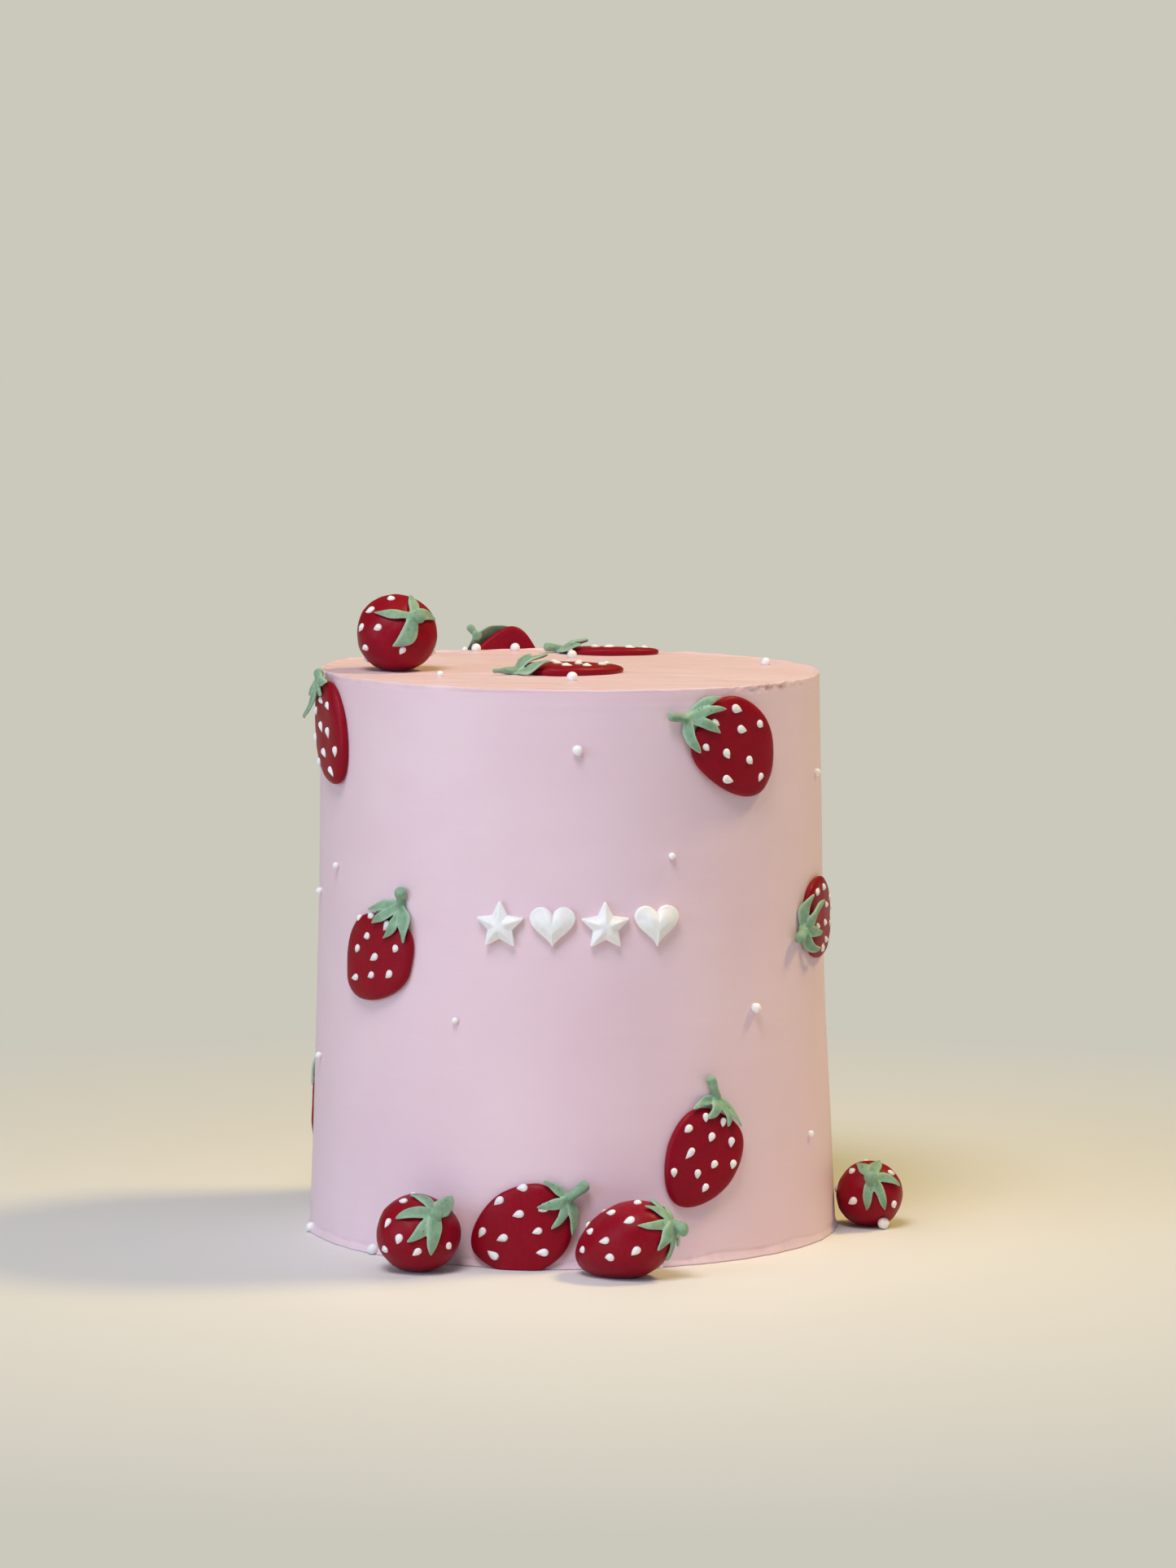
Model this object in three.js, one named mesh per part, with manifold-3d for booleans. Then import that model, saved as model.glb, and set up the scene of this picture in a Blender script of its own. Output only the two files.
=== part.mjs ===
// A tall round birthday cake under pale pink icing, decorated with sugar strawberries,
// bevelled white stars and hearts, and sugar pearls. Millimetres, +Z up. The origin is on
// the cake's axis at its foot, and the front faces -Y.
import * as THREE from 'three';
import { mergeVertices } from 'three/addons/utils/BufferGeometryUtils.js';
import Module from 'manifold-3d';

const wasm = await Module();
wasm.setup();

// Driving dimensions of the cake
const FOOT_RADIUS = 79.0;
const TOP_RADIUS = 74.4;
const CAKE_HEIGHT = 166.7;
const WAIST = 1.0;
const WAIST_RINGS = [0.25, 0.5, 0.75];
const TOP_SHIFT = -0.93;
const TOP_SLOPE = -0.007;
const FOOT_FLARE = 0.6;
const FLARE_HEIGHT = 2.4;
const LIP_HEIGHT = 0.6;
const LIP_WIDTH = 1.6;
const CAKE_SIDES = 60;

// The clear space that is kept between neighbouring pieces
const GAP = 0.3;

// Flat strawberries, cut from rolled fondant
const FLAT_THICKNESS = 2.6;
const FLAT_EDGE = 0.8;
const FACE_POWER = 8;
const EGG_TAPER = 0.13;
const SQUARENESS = 2.0;
const SHOULDER = 0.7;
const MIDDLE = [0.2, -0.5];
const FLAT_SIDES = 16;
const UNDERSIDE_SHARES = [0, 0.55, 0.97];
const FACE_SHARES = [0.9, 0];

// Shares of the way out between which a leaf comes down from a flat berry's face to the icing
const FACE_END = 0.95;
const ICING_START = 1.35;

// Strawberries rolled into balls, which sink a little under their own weight
const BALL_SIDES = 14;
const BALL_RINGS = 8;
const BALL_SAG = 0.6;

// Seeds, dabs of white icing. The outline is shares of their half width and height.
const SEED_OUTLINE = [[0, -0.8], [1, 0.25], [0, 1]];
const SEED_SIDES = 6;
const SEED_WIDTH = 2.1;
const SEED_LENGTH = 3.1;
const SEED_HEIGHT = 0.9;
const SEED_TAPER = 0.35;
const SEED_SINK = 0.1;
const SEED_TURN = 0.4;
const SEED_VARY = 0.12;
const SEED_AIM = 4;

// Rows of seeds on a berry, as shares of its half length and half width
const SEED_ROWS = 4;
const FIRST_ROW = -0.72;
const ROW_STEP = 0.4;
const COLUMN_STEP = 0.6;
const SEED_REACH = 0.8;
const SEED_STRAY = 0.7;

// Leaves and stems. A leaf's outline is pairs of a share of its half width and of its length.
const LEAF_WIDTH = 3.1;
const BALL_LEAF_WIDTH = 3.4;
const LEAF_THICKNESS = 1.1;
const LEAF_OUTLINE = [[0, 0], [0.8, 0.08], [0.92, 0.58], [0, 1]];
const LEAF_SIDES = 4;
const LEAF_RIPPLE = 0.25;
const RIPPLES_ALONG = 9;
const RIPPLES_ACROSS = 2;
const LEAF_START = 0.9;
const LEAF_CHECKS = 8;
const STEM_SIDES = 5;
const STEM_RADIUS = 1.1;
const STEM_ROOT = 0.6;
const STEM_END = 0.8;
const KNOB_RADIUS = 1.5;
const KNOB_SHARE = 0.85;
const COLLAR_OUTLINE = [[0, 0], [1, 0.35], [0, 1]];
const COLLAR_SIDES = 6;
const COLLAR_RADIUS = 2.0;
const COLLAR_HEIGHT = 1.5;

// Pearls sink into the icing by this share of their radius
const PEARL_SINK = 0.4;
const PEARL_SIDES = 6;
const PEARL_RINGS = 3;

// Bevelled white pieces on the front
const SLAB_THICKNESS = 1.7;
const BEVEL_HEIGHT = 1.4;
const PIECE_HEIGHT_UP = 99.1;
const PIECE_AZIMUTHS = [-15.5, -4.0, 7.4, 18.8];
const STAR_POINTS = 5;
const STAR_RADIUS = 7.5;
const STAR_INNER = 0.5;
const HEART_SIDES = 18;
const HEART_HALF_WIDTH = 6.5;
const HEART_RIDGE = 0.4;

const rad = THREE.MathUtils.degToRad;

// A repeatable draw between -1 and 1
function seededDraw(seed) {
  let state = seed;
  return () => {
    state = (state * 1103515245 + 12345) % 2147483648;
    return state / 1073741824 - 1;
  };
}

// The cake's outline: taper, flare at the foot, slightly hollow side and lean
function sideRadius(z) {
  const share = z / CAKE_HEIGHT;
  const flare = FOOT_FLARE * Math.max(0, 1 - z / FLARE_HEIGHT) ** 2;
  const hollow = 4 * WAIST * share * (1 - share);
  return FOOT_RADIUS + (TOP_RADIUS - FOOT_RADIUS) * share + flare - hollow;
}

const lean = (z) => TOP_SHIFT * z / CAKE_HEIGHT;
const topHeight = (x) => CAKE_HEIGHT + TOP_SLOPE * x;

// Local places on the side: x and y across the piece, y at the angle turn, n off the icing
function onSide(azimuth, height, turn) {
  const cos = Math.cos(rad(turn));
  const sin = Math.sin(rad(turn));
  return (x, y, n) => {
    const z = Math.max(0, height - x * cos + y * sin);
    const angle = rad(azimuth) + (x * sin + y * cos) / sideRadius(height);
    const radius = sideRadius(z) + GAP + n;
    return new THREE.Vector3(lean(z) + radius * Math.sin(angle), -radius * Math.cos(angle), z);
  };
}

// The same on the cake's top
function onTop(centreX, centreY, turn) {
  const cos = Math.cos(rad(turn));
  const sin = Math.sin(rad(turn));
  return (x, y, n) => {
    const px = centreX + x * sin + y * cos;
    const py = centreY - x * cos + y * sin;
    return new THREE.Vector3(px, py, topHeight(px) + GAP + n);
  };
}

// Moves every corner of a geometry to where place puts it
function warp(geometry, place) {
  const position = geometry.attributes.position;
  for (let i = 0; i < position.count; i += 1) {
    const spot = place(position.getX(i), position.getY(i), position.getZ(i));
    position.setXYZ(i, spot.x, spot.y, spot.z);
  }
  return geometry;
}

// A turned form: radius and height pairs round +Z
function turned(profile, sides) {
  const points = profile.map(([radius, height]) => new THREE.Vector2(radius, height));
  return new THREE.LatheGeometry(points, sides).rotateX(Math.PI / 2);
}

function toSolid(geometry) {
  const bare = geometry.clone();
  bare.deleteAttribute('normal');
  bare.deleteAttribute('uv');
  const welded = mergeVertices(bare, 1e-4);
  const corners = welded.index.array;
  const triangles = [];
  for (let i = 0; i < corners.length; i += 3) {
    const [a, b, c] = corners.slice(i, i + 3);
    if (a !== b && b !== c && c !== a) triangles.push(a, b, c);
  }
  return new wasm.Manifold(new wasm.Mesh({
    numProp: 3,
    vertProperties: new Float32Array(welded.attributes.position.array),
    triVerts: new Uint32Array(triangles),
  }));
}

// Joins closed geometries into one solid
function joined(geometries) {
  const whole = geometries.map(toSolid).reduce((sum, next) => sum.add(next));
  const mesh = whole.getMesh();
  const geometry = new THREE.BufferGeometry();
  geometry.setAttribute('position', new THREE.BufferAttribute(mesh.vertProperties, 3));
  geometry.setIndex(new THREE.BufferAttribute(mesh.triVerts, 1));
  geometry.computeVertexNormals();
  return geometry;
}

function material(color, roughness) {
  return new THREE.MeshStandardMaterial({ color, roughness, metalness: 0 });
}

function addNode(parent, name, geometry, finish) {
  const mesh = new THREE.Mesh(geometry, finish);
  mesh.name = name;
  parent.add(mesh);
}

// The cake

const SIDE_PEARLS = [
  [1.6, 149.8, 3.1], [22.7, 118.8, 2.0], [-26, 70.9, 2.0], [-66, 111.5, 2.0],
  [44.3, 72.7, 3.0], [64.3, 32.4, 2.0], [75.6, 138.0, 2.2], [-80, 101.9, 2.2],
  [-76.4, 53.3, 2.2], [110, 84, 2.2], [107, 157, 3.0], [128, 50, 3.0],
  [172, 22, 2.0], [-150, 74, 3.0], [-104, 140, 2.0], [-122, 24, 2.2],
];
const TOP_PEARLS = [
  [-39.1, -27.4, 2.1], [-30, 66, 3.0], [-18, 69, 3.0], [-33.5, 64.9, 1.8],
  [-42.9, 55.5, 2.0], [-0.4, 43.7, 3.0], [-0.3, -38.2, 3.3], [58.1, 23.3, 2.9],
];
const FOOT_PEARLS = [[-77.7, 3.0], [-47, 3.1]];

function pearl(diameter, centre) {
  const ball = new THREE.SphereGeometry(diameter / 2, PEARL_SIDES, PEARL_RINGS);
  return ball.rotateX(Math.PI / 2).translate(...centre);
}

function sidePearl([azimuth, height, diameter]) {
  const off = diameter / 2 * (1 - PEARL_SINK) - GAP;
  return pearl(diameter, onSide(azimuth, height, 90)(0, 0, off).toArray());
}

function topPearl([x, y, diameter]) {
  return pearl(diameter, [x, y, topHeight(x) + diameter / 2 * (1 - PEARL_SINK)]);
}

function footPearl([azimuth, diameter]) {
  const height = diameter / 2;
  const off = diameter / 2 * (1 - PEARL_SINK) - GAP;
  return pearl(diameter, onSide(azimuth, height, 90)(0, 0, off).toArray());
}

function cakeGeometry() {
  const heights = [
    0, FLARE_HEIGHT / 2, FLARE_HEIGHT, ...WAIST_RINGS.map((share) => share * CAKE_HEIGHT), CAKE_HEIGHT,
  ];
  const profile = [
    [0, 0], ...heights.map((z) => [sideRadius(z), z]),
    [TOP_RADIUS - LIP_WIDTH / 4, CAKE_HEIGHT + LIP_HEIGHT],
    [TOP_RADIUS - LIP_WIDTH, CAKE_HEIGHT], [0, CAKE_HEIGHT],
  ];
  const body = warp(turned(profile, CAKE_SIDES), (x, y, z) => (
    new THREE.Vector3(x + lean(z), y, z + TOP_SLOPE * x * z / CAKE_HEIGHT)
  ));
  return joined([
    body, ...SIDE_PEARLS.map(sidePearl), ...TOP_PEARLS.map(topPearl), ...FOOT_PEARLS.map(footPearl),
  ]);
}

// Strawberries

// A dab that narrows to a tail at -y, sunk into what it lies on
function seed(place, turn, size) {
  const grain = turned(SEED_OUTLINE, SEED_SIDES);
  const cos = Math.cos(turn);
  const sin = Math.sin(turn);
  return warp(grain, (x, y, z) => {
    const across = x * (1 + SEED_TAPER * y) * SEED_WIDTH / 2 * size;
    const along = y * SEED_LENGTH / 2 * size;
    return place(across * cos - along * sin, across * sin + along * cos, z * SEED_HEIGHT);
  });
}

// Places along a leaf's bent middle line, and aside from it
function leafLine(from, [tipX, tipY, bend = 0]) {
  const whole = new THREE.Vector2(tipX - from[0], tipY - from[1]);
  const right = new THREE.Vector2(whole.y, -whole.x).normalize();
  const start = LEAF_START / whole.length();
  return (run, aside) => {
    const share = start + (1 - start) * run;
    const sideways = bend * 4 * run * (1 - run) + aside;
    return [from[0] + whole.x * share + right.x * sideways, from[1] + whole.y * share + right.y * sideways];
  };
}

// A pointed, ridged leaf from the calyx to its tip, laid over what is below it
function leaf(surface, cover, from, row, width) {
  const [lift = 0, share = 1] = row.slice(3);
  const line = leafLine(from, row);
  const outline = LEAF_OUTLINE.map(([radius, run]) => new THREE.Vector2(radius, run));
  const blade = new THREE.LatheGeometry(outline, LEAF_SIDES);
  const thick = LEAF_THICKNESS * Math.sqrt(share);
  return warp(blade, (x, y, z) => {
    const [px, py] = line(y, x * width * share / 2);
    const ripple = LEAF_RIPPLE * (1 + Math.sin(RIPPLES_ALONG * y + RIPPLES_ACROSS * x)) * Math.abs(x);
    return surface(px, py, cover(px, py) + (1 + z) * thick / 2 + lift * y * y + ripple);
  });
}

// The stem runs from the collar to a knob at its end
function stem(surface, base, end, neck, knob) {
  const start = new THREE.Vector3(...base);
  const run = new THREE.Vector3(...end).sub(start);
  const length = run.length();
  const profile = [[0, -STEM_ROOT], [neck, 0], [knob, length * KNOB_SHARE], [0, length + STEM_END]];
  const turn = new THREE.Quaternion().setFromUnitVectors(new THREE.Vector3(0, 0, 1), run.normalize());
  return warp(turned(profile, STEM_SIDES), (x, y, z) => {
    const spot = new THREE.Vector3(x, y, z).applyQuaternion(turn).add(start);
    return surface(spot.x, spot.y, spot.z);
  });
}

function calyxGeometry(surface, cover, calyx, width) {
  const [x, y] = calyx.at;
  const base = cover(x, y);
  const collar = warp(turned(COLLAR_OUTLINE, COLLAR_SIDES), (u, v, w) => (
    surface(x + u * COLLAR_RADIUS, y + v * COLLAR_RADIUS, base + w * COLLAR_HEIGHT)
  ));
  const leaves = calyx.leaves.map((row) => leaf(surface, cover, calyx.at, row, width));
  const { neck = STEM_RADIUS, knob = KNOB_RADIUS } = calyx;
  return joined([collar, stem(surface, [x, y, base + neck], calyx.stem, neck, knob), ...leaves]);
}

// True where a seed stays clear of every leaf of the calyx
function clearOfCalyx(calyx, x, y) {
  return calyx.leaves.every((row) => {
    const line = leafLine(calyx.at, row);
    for (let step = 0; step <= LEAF_CHECKS; step += 1) {
      const run = step / LEAF_CHECKS;
      const [px, py] = line(run, 0);
      const clearance = LEAF_WIDTH / 2 * (1 - run ** 3) + SEED_LENGTH / 2 + GAP;
      if (Math.hypot(px - x, py - y) < clearance) return false;
    }
    return true;
  });
}

// Staggered rows of seeds for a berry that the rule fills
function seedRows(berry, start) {
  const [halfWidth, halfLength] = berry.size;
  const places = [];
  for (let row = 0; row < SEED_ROWS; row += 1) {
    for (let column = -2; column <= 2; column += 1) {
      const x = halfWidth * COLUMN_STEP * (column + (row % 2) / 2);
      const y = halfLength * (FIRST_ROW + ROW_STEP * row);
      const strayX = SEED_STRAY * Math.sin(5 * row + 3 * column + start);
      const strayY = SEED_STRAY * Math.sin(3 * row + 7 * column + 2 * start);
      const spot = [x + strayX, y + strayY];
      if (flatShare(berry, ...spot) < SEED_REACH && clearOfCalyx(berry.calyx, ...spot)) places.push(spot);
    }
  }
  return places;
}

// Flat berries

// Height of a flat berry's rounded face at a share of the way out to its outline
function flatFace(share) {
  const fall = Math.sqrt(Math.max(0, 1 - share ** FACE_POWER));
  return FLAT_EDGE + (FLAT_THICKNESS - FLAT_EDGE) * fall;
}

// How far a berry's tip and its calyx's end lean across
function leaning(berry, q) {
  const [tip, head] = berry.skew ?? [0, 0];
  return tip * Math.max(0, -q) ** 2 + head * Math.max(0, q) ** 2;
}

// The share of the way out in a rounded square, squarer at the calyx's end
function cornerShare(berry, p, q) {
  const size = Math.hypot(p, q);
  if (size === 0) return 0;
  const power = (berry.square ?? SQUARENESS) + SHOULDER * Math.max(0, q) / size;
  return (Math.abs(p) ** power + Math.abs(q) ** power) ** (1 / power);
}

const halfWidthAt = (berry, q) => berry.size[0] * (1 + (berry.taper ?? EGG_TAPER) * q);

// How far out a place is, from 0 in the middle to 1 at the outline
function flatShare(berry, x, y) {
  const [middleX, middleY] = berry.middle ?? MIDDLE;
  const q = (y - middleY) / berry.size[1];
  return cornerShare(berry, (x - middleX - leaning(berry, q)) / halfWidthAt(berry, q), q);
}

// The place at shares p and q of the way out, on the berry's rounded outline
function flatSpot(berry, p, q) {
  const [middleX, middleY] = berry.middle ?? MIDDLE;
  const corner = cornerShare(berry, p, q);
  const stretch = corner > 0 ? Math.hypot(p, q) / corner : 1;
  const x = middleX + leaning(berry, q * stretch) + p * stretch * halfWidthAt(berry, q * stretch);
  return [x, middleY + q * stretch * berry.size[1]];
}

// A berry's thickness at a place, as a share of the usual one
function thinning(berry, x, y) {
  const [thinX, thinY] = berry.thins ?? [0, 0];
  return (berry.thick ?? 1) * (1 - thinX * x / berry.size[0] + thinY * y / berry.size[1]);
}

// What a leaf lies on: the berry's face, falling to the icing round it
function flatCover(berry, x, y) {
  const fall = THREE.MathUtils.smoothstep(flatShare(berry, x, y), FACE_END, ICING_START);
  return (FLAT_THICKNESS * thinning(berry, x, y) + GAP) * (1 - fall);
}

function flatBody(berry) {
  const profile = UNDERSIDE_SHARES.map((share) => [share, 0]);
  profile.push([1, FLAT_EDGE]);
  FACE_SHARES.forEach((share) => profile.push([share, flatFace(share)]));
  return warp(turned(profile, FLAT_SIDES), (p, q, n) => {
    const [x, y] = flatSpot(berry, p, q);
    return berry.surface(x, y, n * thinning(berry, x, y));
  });
}

function addFlatBerry(parent, name, berry, start) {
  const draw = seededDraw(start);
  const places = berry.seeds ?? seedRows(berry, start);
  const seeds = places.filter(([x, y]) => clearOfCalyx(berry.calyx, x, y)).map(([x, y]) => {
    const base = flatFace(flatShare(berry, x, y)) * thinning(berry, x, y) - SEED_SINK;
    const place = (u, v, w) => berry.surface(x + u, y + v, base + w);
    return seed(place, SEED_TURN * draw(), 1 + SEED_VARY * draw());
  });
  addNode(parent, `berry_${name}`, joined([flatBody(berry), ...seeds]), FONDANT_RED);
  const calyx = calyxGeometry(berry.surface, (x, y) => flatCover(berry, x, y), berry.calyx, LEAF_WIDTH);
  addNode(parent, `calyx_${name}`, calyx, FONDANT_GREEN);
}

// Sizes are half width and half length. Seeds, leaf tips and the calyx are in each berry's own
// x and y, with y towards the calyx. A leaf's third number bends it, its fourth lifts its tip and
// its fifth is its share of the usual width.
const FLAT_BERRIES = {
  upper_right: {
    surface: onSide(39.7, 148.8, 145), size: [13.2, 15.5],
    middle: [0.65, -0.4], taper: 0.07, square: 2.07, skew: [-2.1, -1],
    seeds: [[8.6, 8.1], [9.7, -2], [4.6, 3.2], [1.4, 12], [-6, 10.6], [-3.8, 3.8], [-1.1, -4.4],
      [-2.8, -10.9], [-9.9, -0.8]],
    calyx: { at: [-2.2, 19.4], stem: [-4.6, 24.4, 1.7], neck: 1, knob: 1.3,
      leaves: [[8.8, 14.6, -1, 0, 0.8], [6.7, 11.5, -0.9, 0, 0.86], [-0.6, 9.2, -1], [-8.8, 11.4, 1.2]] },
  },
  mid_left: {
    surface: onSide(-47.1, 87, 76), size: [13.4, 13.6],
    middle: [-0.7, -0.7], taper: 0.07, square: 1.95, skew: [-4.9, 2.6],
    seeds: [[-5.1, 11.3], [2.3, 10.9], [-10.2, 8.6], [-4.4, 5.3], [-7.6, 0.4], [7.5, 5.6], [0.2, 0.4],
      [7.1, -2.4], [0.3, -5.1], [-6.3, -8.2]],
    calyx: { at: [4.6, 17.8], stem: [4.7, 21.9, 1.9], knob: 1.8,
      leaves: [[-6.6, 13, 0.3, 0, 1.05], [-2.6, 9.8, 0, 0, 1.05], [2.5, 7.1, -1.9], [10.5, 8.2, -0.9]] },
  },
  lower_right: {
    surface: onSide(28.6, 30.7, 60), size: [11.8, 14.9],
    middle: [0.2, -0.4], taper: 0.17, square: 1.9, skew: [-0.9, 0],
    seeds: [[-5.6, 10.9], [0.3, 12.1], [-8.9, 5.6], [-1.3, 6.7], [5.4, 8.3], [-5.1, -0.3], [9, 2.9],
      [3.3, 0.1], [-6.9, -7.4], [-0.3, -4.6], [3.8, -7.1]],
    calyx: { at: [-4.1, 17.8], stem: [-9, 21.2, 1.9], neck: 1.2, knob: 1.4,
      leaves: [[-10.7, 11.2, 0.4, 0, 0.74], [-4.9, 10.6, -0.4, 0, 1.05], [1.9, 11.4, -1.4],
        [6.3, 13.4, -1, 0, 0.74]] },
  },
  front_foot: {
    surface: onSide(-11.1, 11.4, 25), size: [12.3, 15],
    middle: [0.6, -0.3], taper: 0.11, square: 1.82, skew: [-0.7, -0.9],
    seeds: [[-10.6, 6.3], [-10, -1.4], [-3.1, 9.5], [-4.3, 2.3], [-3.7, -9.7], [2.3, 5.1], [0.2, -4.8],
      [8.5, 3.9], [3.8, -9.5]],
    calyx: { at: [-2.7, 16.7], stem: [-4, 22.6, 1.9], neck: 1.35, knob: 1.6,
      leaves: [[-10.3, 12.2, 0.5, 0, 0.74], [-4.3, 7.7, -0.6, 0, 0.95], [3.4, 8.8, -0.8, 0, 0.84],
        [7.4, 13.2, -1.2, 0, 0.86]] },
  },
  upper_left: {
    surface: onSide(-70.4, 149.6, 110), size: [11.7, 15.6],
    middle: [1.1, 0.1], taper: 0.08, square: 1.9, skew: [1.9, -1.4],
    seeds: [[2.1, 9.9], [7.2, 6.9], [-0.5, 2.8], [4.6, -0.3], [7.7, -6.9], [-0.6, -5.2], [2.9, -11.6],
      [-4.3, 8.7], [-8.5, 1.5], [-6.5, -6.5]],
    calyx: { at: [1.5, 17], stem: [0, 18.7, 1.9],
      leaves: [[-11.4, 8.1, -1.5, 2.6], [-6, 13.4, 0, 0.8], [4, 10.6, 0.4], [9, 13.8, 0.6]] },
  },
  mid_right: {
    surface: onSide(74.8, 95.2, 186), size: [11.8, 13.8], thick: 0.8,
    seeds: [[8.8, 6], [8.8, -0.6], [3.2, -2.3], [-1.7, 0.2], [-1.2, 7.7], [-6.8, 0.3],
      [-8.4, 4.3], [4, -8.8], [-3.8, -7.6], [0.2, -12.4]],
    calyx: { at: [-0.5, 16.2], stem: [-1.8, 21.2, 2.2], neck: 1.4, knob: 1.6,
      leaves: [[9.5, 11, -1.8, 0.4, 0.95], [6.5, 5, -0.9, 1.2, 0.9], [-3.1, 5.6, 0.3, 0, 1],
        [-7.4, 8.3, 2.6]] },
  },
  left_low: {
    surface: onSide(-107.8, 32.4, 96), size: [12, 14.4],
    skew: [0.8, 0],
    calyx: { at: [0.5, 17.2], stem: [-0.6, 22.8, 1.9],
      leaves: [[-8.8, 11, 0.8], [-3.4, 8.2, 0.4], [3.6, 8.4, -0.4], [7.4, 5.6, -0.8, 0, 1.3]] },
  },
  back_rim: {
    surface: onSide(-164.9, 158.8, 52), size: [11.9, 13.8],
    middle: [0, -0.8], taper: 0.22, square: 2.75,
    calyx: { at: [-0.2, 15.9], stem: [-0.4, 18.9, 2], neck: 1, knob: 1.15,
      leaves: [[-11.1, 9.8, 0.4, 0, 1.1], [-4, 6.9, 0.4], [3.4, 7.1, -0.4], [8.8, 10.7, 0.6, 0.4]] },
  },
  back_upper: {
    surface: onSide(117, 139, 62), size: [12.6, 14.8],
    skew: [-1.2, 0],
    calyx: { at: [-1.5, 17.6], stem: [-4.6, 22.8, 1.9],
      leaves: [[-9.6, 11.4, -0.8], [-4.2, 8, 0.5], [3.2, 8.2, -0.4], [8.8, 11.8, 0.8]] },
  },
  back_middle: {
    surface: onSide(150, 78, 116), size: [12.2, 14.8],
    skew: [1, 0],
    calyx: { at: [2, 17.4], stem: [4.8, 22.6, 1.9],
      leaves: [[-8.4, 11.8, 0.8], [-2.6, 7.8, 0.5], [3.8, 8, -0.5], [9.8, 10.8, -0.9]] },
  },
  back_left: {
    surface: onSide(-130, 108, 70), size: [12.4, 15],
    skew: [-0.6, 0],
    calyx: { at: [0, 17.8], stem: [-2.6, 23.4, 1.9],
      leaves: [[-9.2, 11.6, 0.9], [-3.4, 8.2, -0.4], [3.4, 8.4, 0.5], [9, 12, -0.8]] },
  },
  back_low: {
    surface: onSide(-165, 44, 132), size: [12.1, 14.5],
    skew: [-1.6, 0],
    calyx: { at: [-1, 17.2], stem: [1.8, 22.6, 1.9],
      leaves: [[-9.4, 10.8, 0.8], [-4, 7.6, 0.4], [3, 8, -0.4], [8.8, 11.2, -0.8]] },
  },
  top_front: {
    surface: onTop(-0.3, -11.5, 206), size: [11, 15.2],
    middle: [0, -0.8], thins: [0, 0.22],
    seeds: [[-7, 5.5], [0, 5], [6, 3], [-7.5, -1], [-1, -1.5], [5.5, -5], [-3.5, -8], [1.5, -12]],
    calyx: { at: [0, 18.4], stem: [0.8, 25.2, 1], neck: 1.2, knob: 0.65,
      leaves: [[-7.2, 10.6, 2.4, 0.2, 1.1], [-1.6, 8.6, -0.6, 1.9, 1.25], [4.4, 11.6, -0.6, 1.4, 1.3],
        [8.4, 14, 1.4, 0.4, 1.1]] },
  },
  top_back: {
    surface: onTop(12.4, 61.6, 180), size: [10.2, 13.4],
    thick: 0.66, thins: [0.4, 0.1],
    calyx: { at: [0.4, 16.4], stem: [-0.6, 20.6, 1.6], neck: 1.25, knob: 1.3,
      leaves: [[-8.6, 9.8, 0.8, 0.2, 1.2], [-3, 7.8, 0.4, 1.5, 1.4], [3.2, 7.6, -0.4, 1.2, 1.3],
        [8.6, 9.8, -0.8, 0.6, 1.1]] },
  },
};

// Ball berries

// A ball berry's own axis runs from its tip to its calyx along the given azimuth and rise
function ballFrame(berry) {
  const azimuth = rad(berry.azimuth);
  const rise = rad(berry.rise);
  const axis = new THREE.Vector3(
    Math.sin(azimuth) * Math.cos(rise), -Math.cos(azimuth) * Math.cos(rise), Math.sin(rise),
  );
  const across = new THREE.Vector3(0, 0, 1).cross(axis).normalize();
  const upwards = axis.clone().cross(across);
  return new THREE.Matrix4().makeBasis(across, upwards, axis);
}

// The skin at an angle from the calyx and an angle round the axis, n off the skin
function ballSkin(berry, angle, round, n) {
  const [a, b] = berry.size;
  const out = a * Math.sin(angle) * (1 + berry.taper * Math.cos(angle));
  const spot = new THREE.Vector3(out * Math.cos(round), out * Math.sin(round), b * Math.cos(angle));
  const away = new THREE.Vector3(spot.x / (a * a), spot.y / (a * a), spot.z / (b * b)).normalize();
  return spot.addScaledVector(away, n);
}

// Local places round the calyx of a ball berry, as on a flat map of its top
function ballMap(berry) {
  const radius = (berry.size[0] + berry.size[1]) / 2;
  return (x, y, n) => ballSkin(berry, Math.hypot(x, y) / radius, Math.atan2(y, x), n + GAP);
}

function ballBody(berry) {
  const [a, b] = berry.size;
  const profile = [];
  for (let ring = 0; ring <= BALL_RINGS; ring += 1) {
    const angle = Math.PI * (1 - ring / BALL_RINGS);
    profile.push([Math.abs(a * Math.sin(angle) * (1 + berry.taper * Math.cos(angle))), b * Math.cos(angle)]);
  }
  profile[0][0] = 0;
  profile[BALL_RINGS][0] = 0;
  return turned(profile, BALL_SIDES);
}

function ballSeed(berry, [angle, round], turn, size) {
  const spot = ballSkin(berry, rad(angle), rad(round), -SEED_SINK);
  const away = ballSkin(berry, rad(angle), rad(round), 1).sub(spot).normalize();
  const towardsCalyx = ballSkin(berry, rad(angle - SEED_AIM), rad(round), -SEED_SINK).sub(spot);
  towardsCalyx.addScaledVector(away, -towardsCalyx.dot(away)).normalize();
  const sideways = towardsCalyx.clone().cross(away);
  return seed((u, v, w) => (
    spot.clone().addScaledVector(sideways, u).addScaledVector(towardsCalyx, v).addScaledVector(away, w)
  ), turn, size);
}

function clearOnBall(berry, [angle, round]) {
  const radius = (berry.size[0] + berry.size[1]) / 2;
  const reach = rad(angle) * radius;
  return clearOfCalyx(berry.calyx, reach * Math.cos(rad(round)), reach * Math.sin(rad(round)));
}

function lowPoint(geometry) {
  geometry.computeBoundingBox();
  return geometry.boundingBox.min.z;
}

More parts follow.
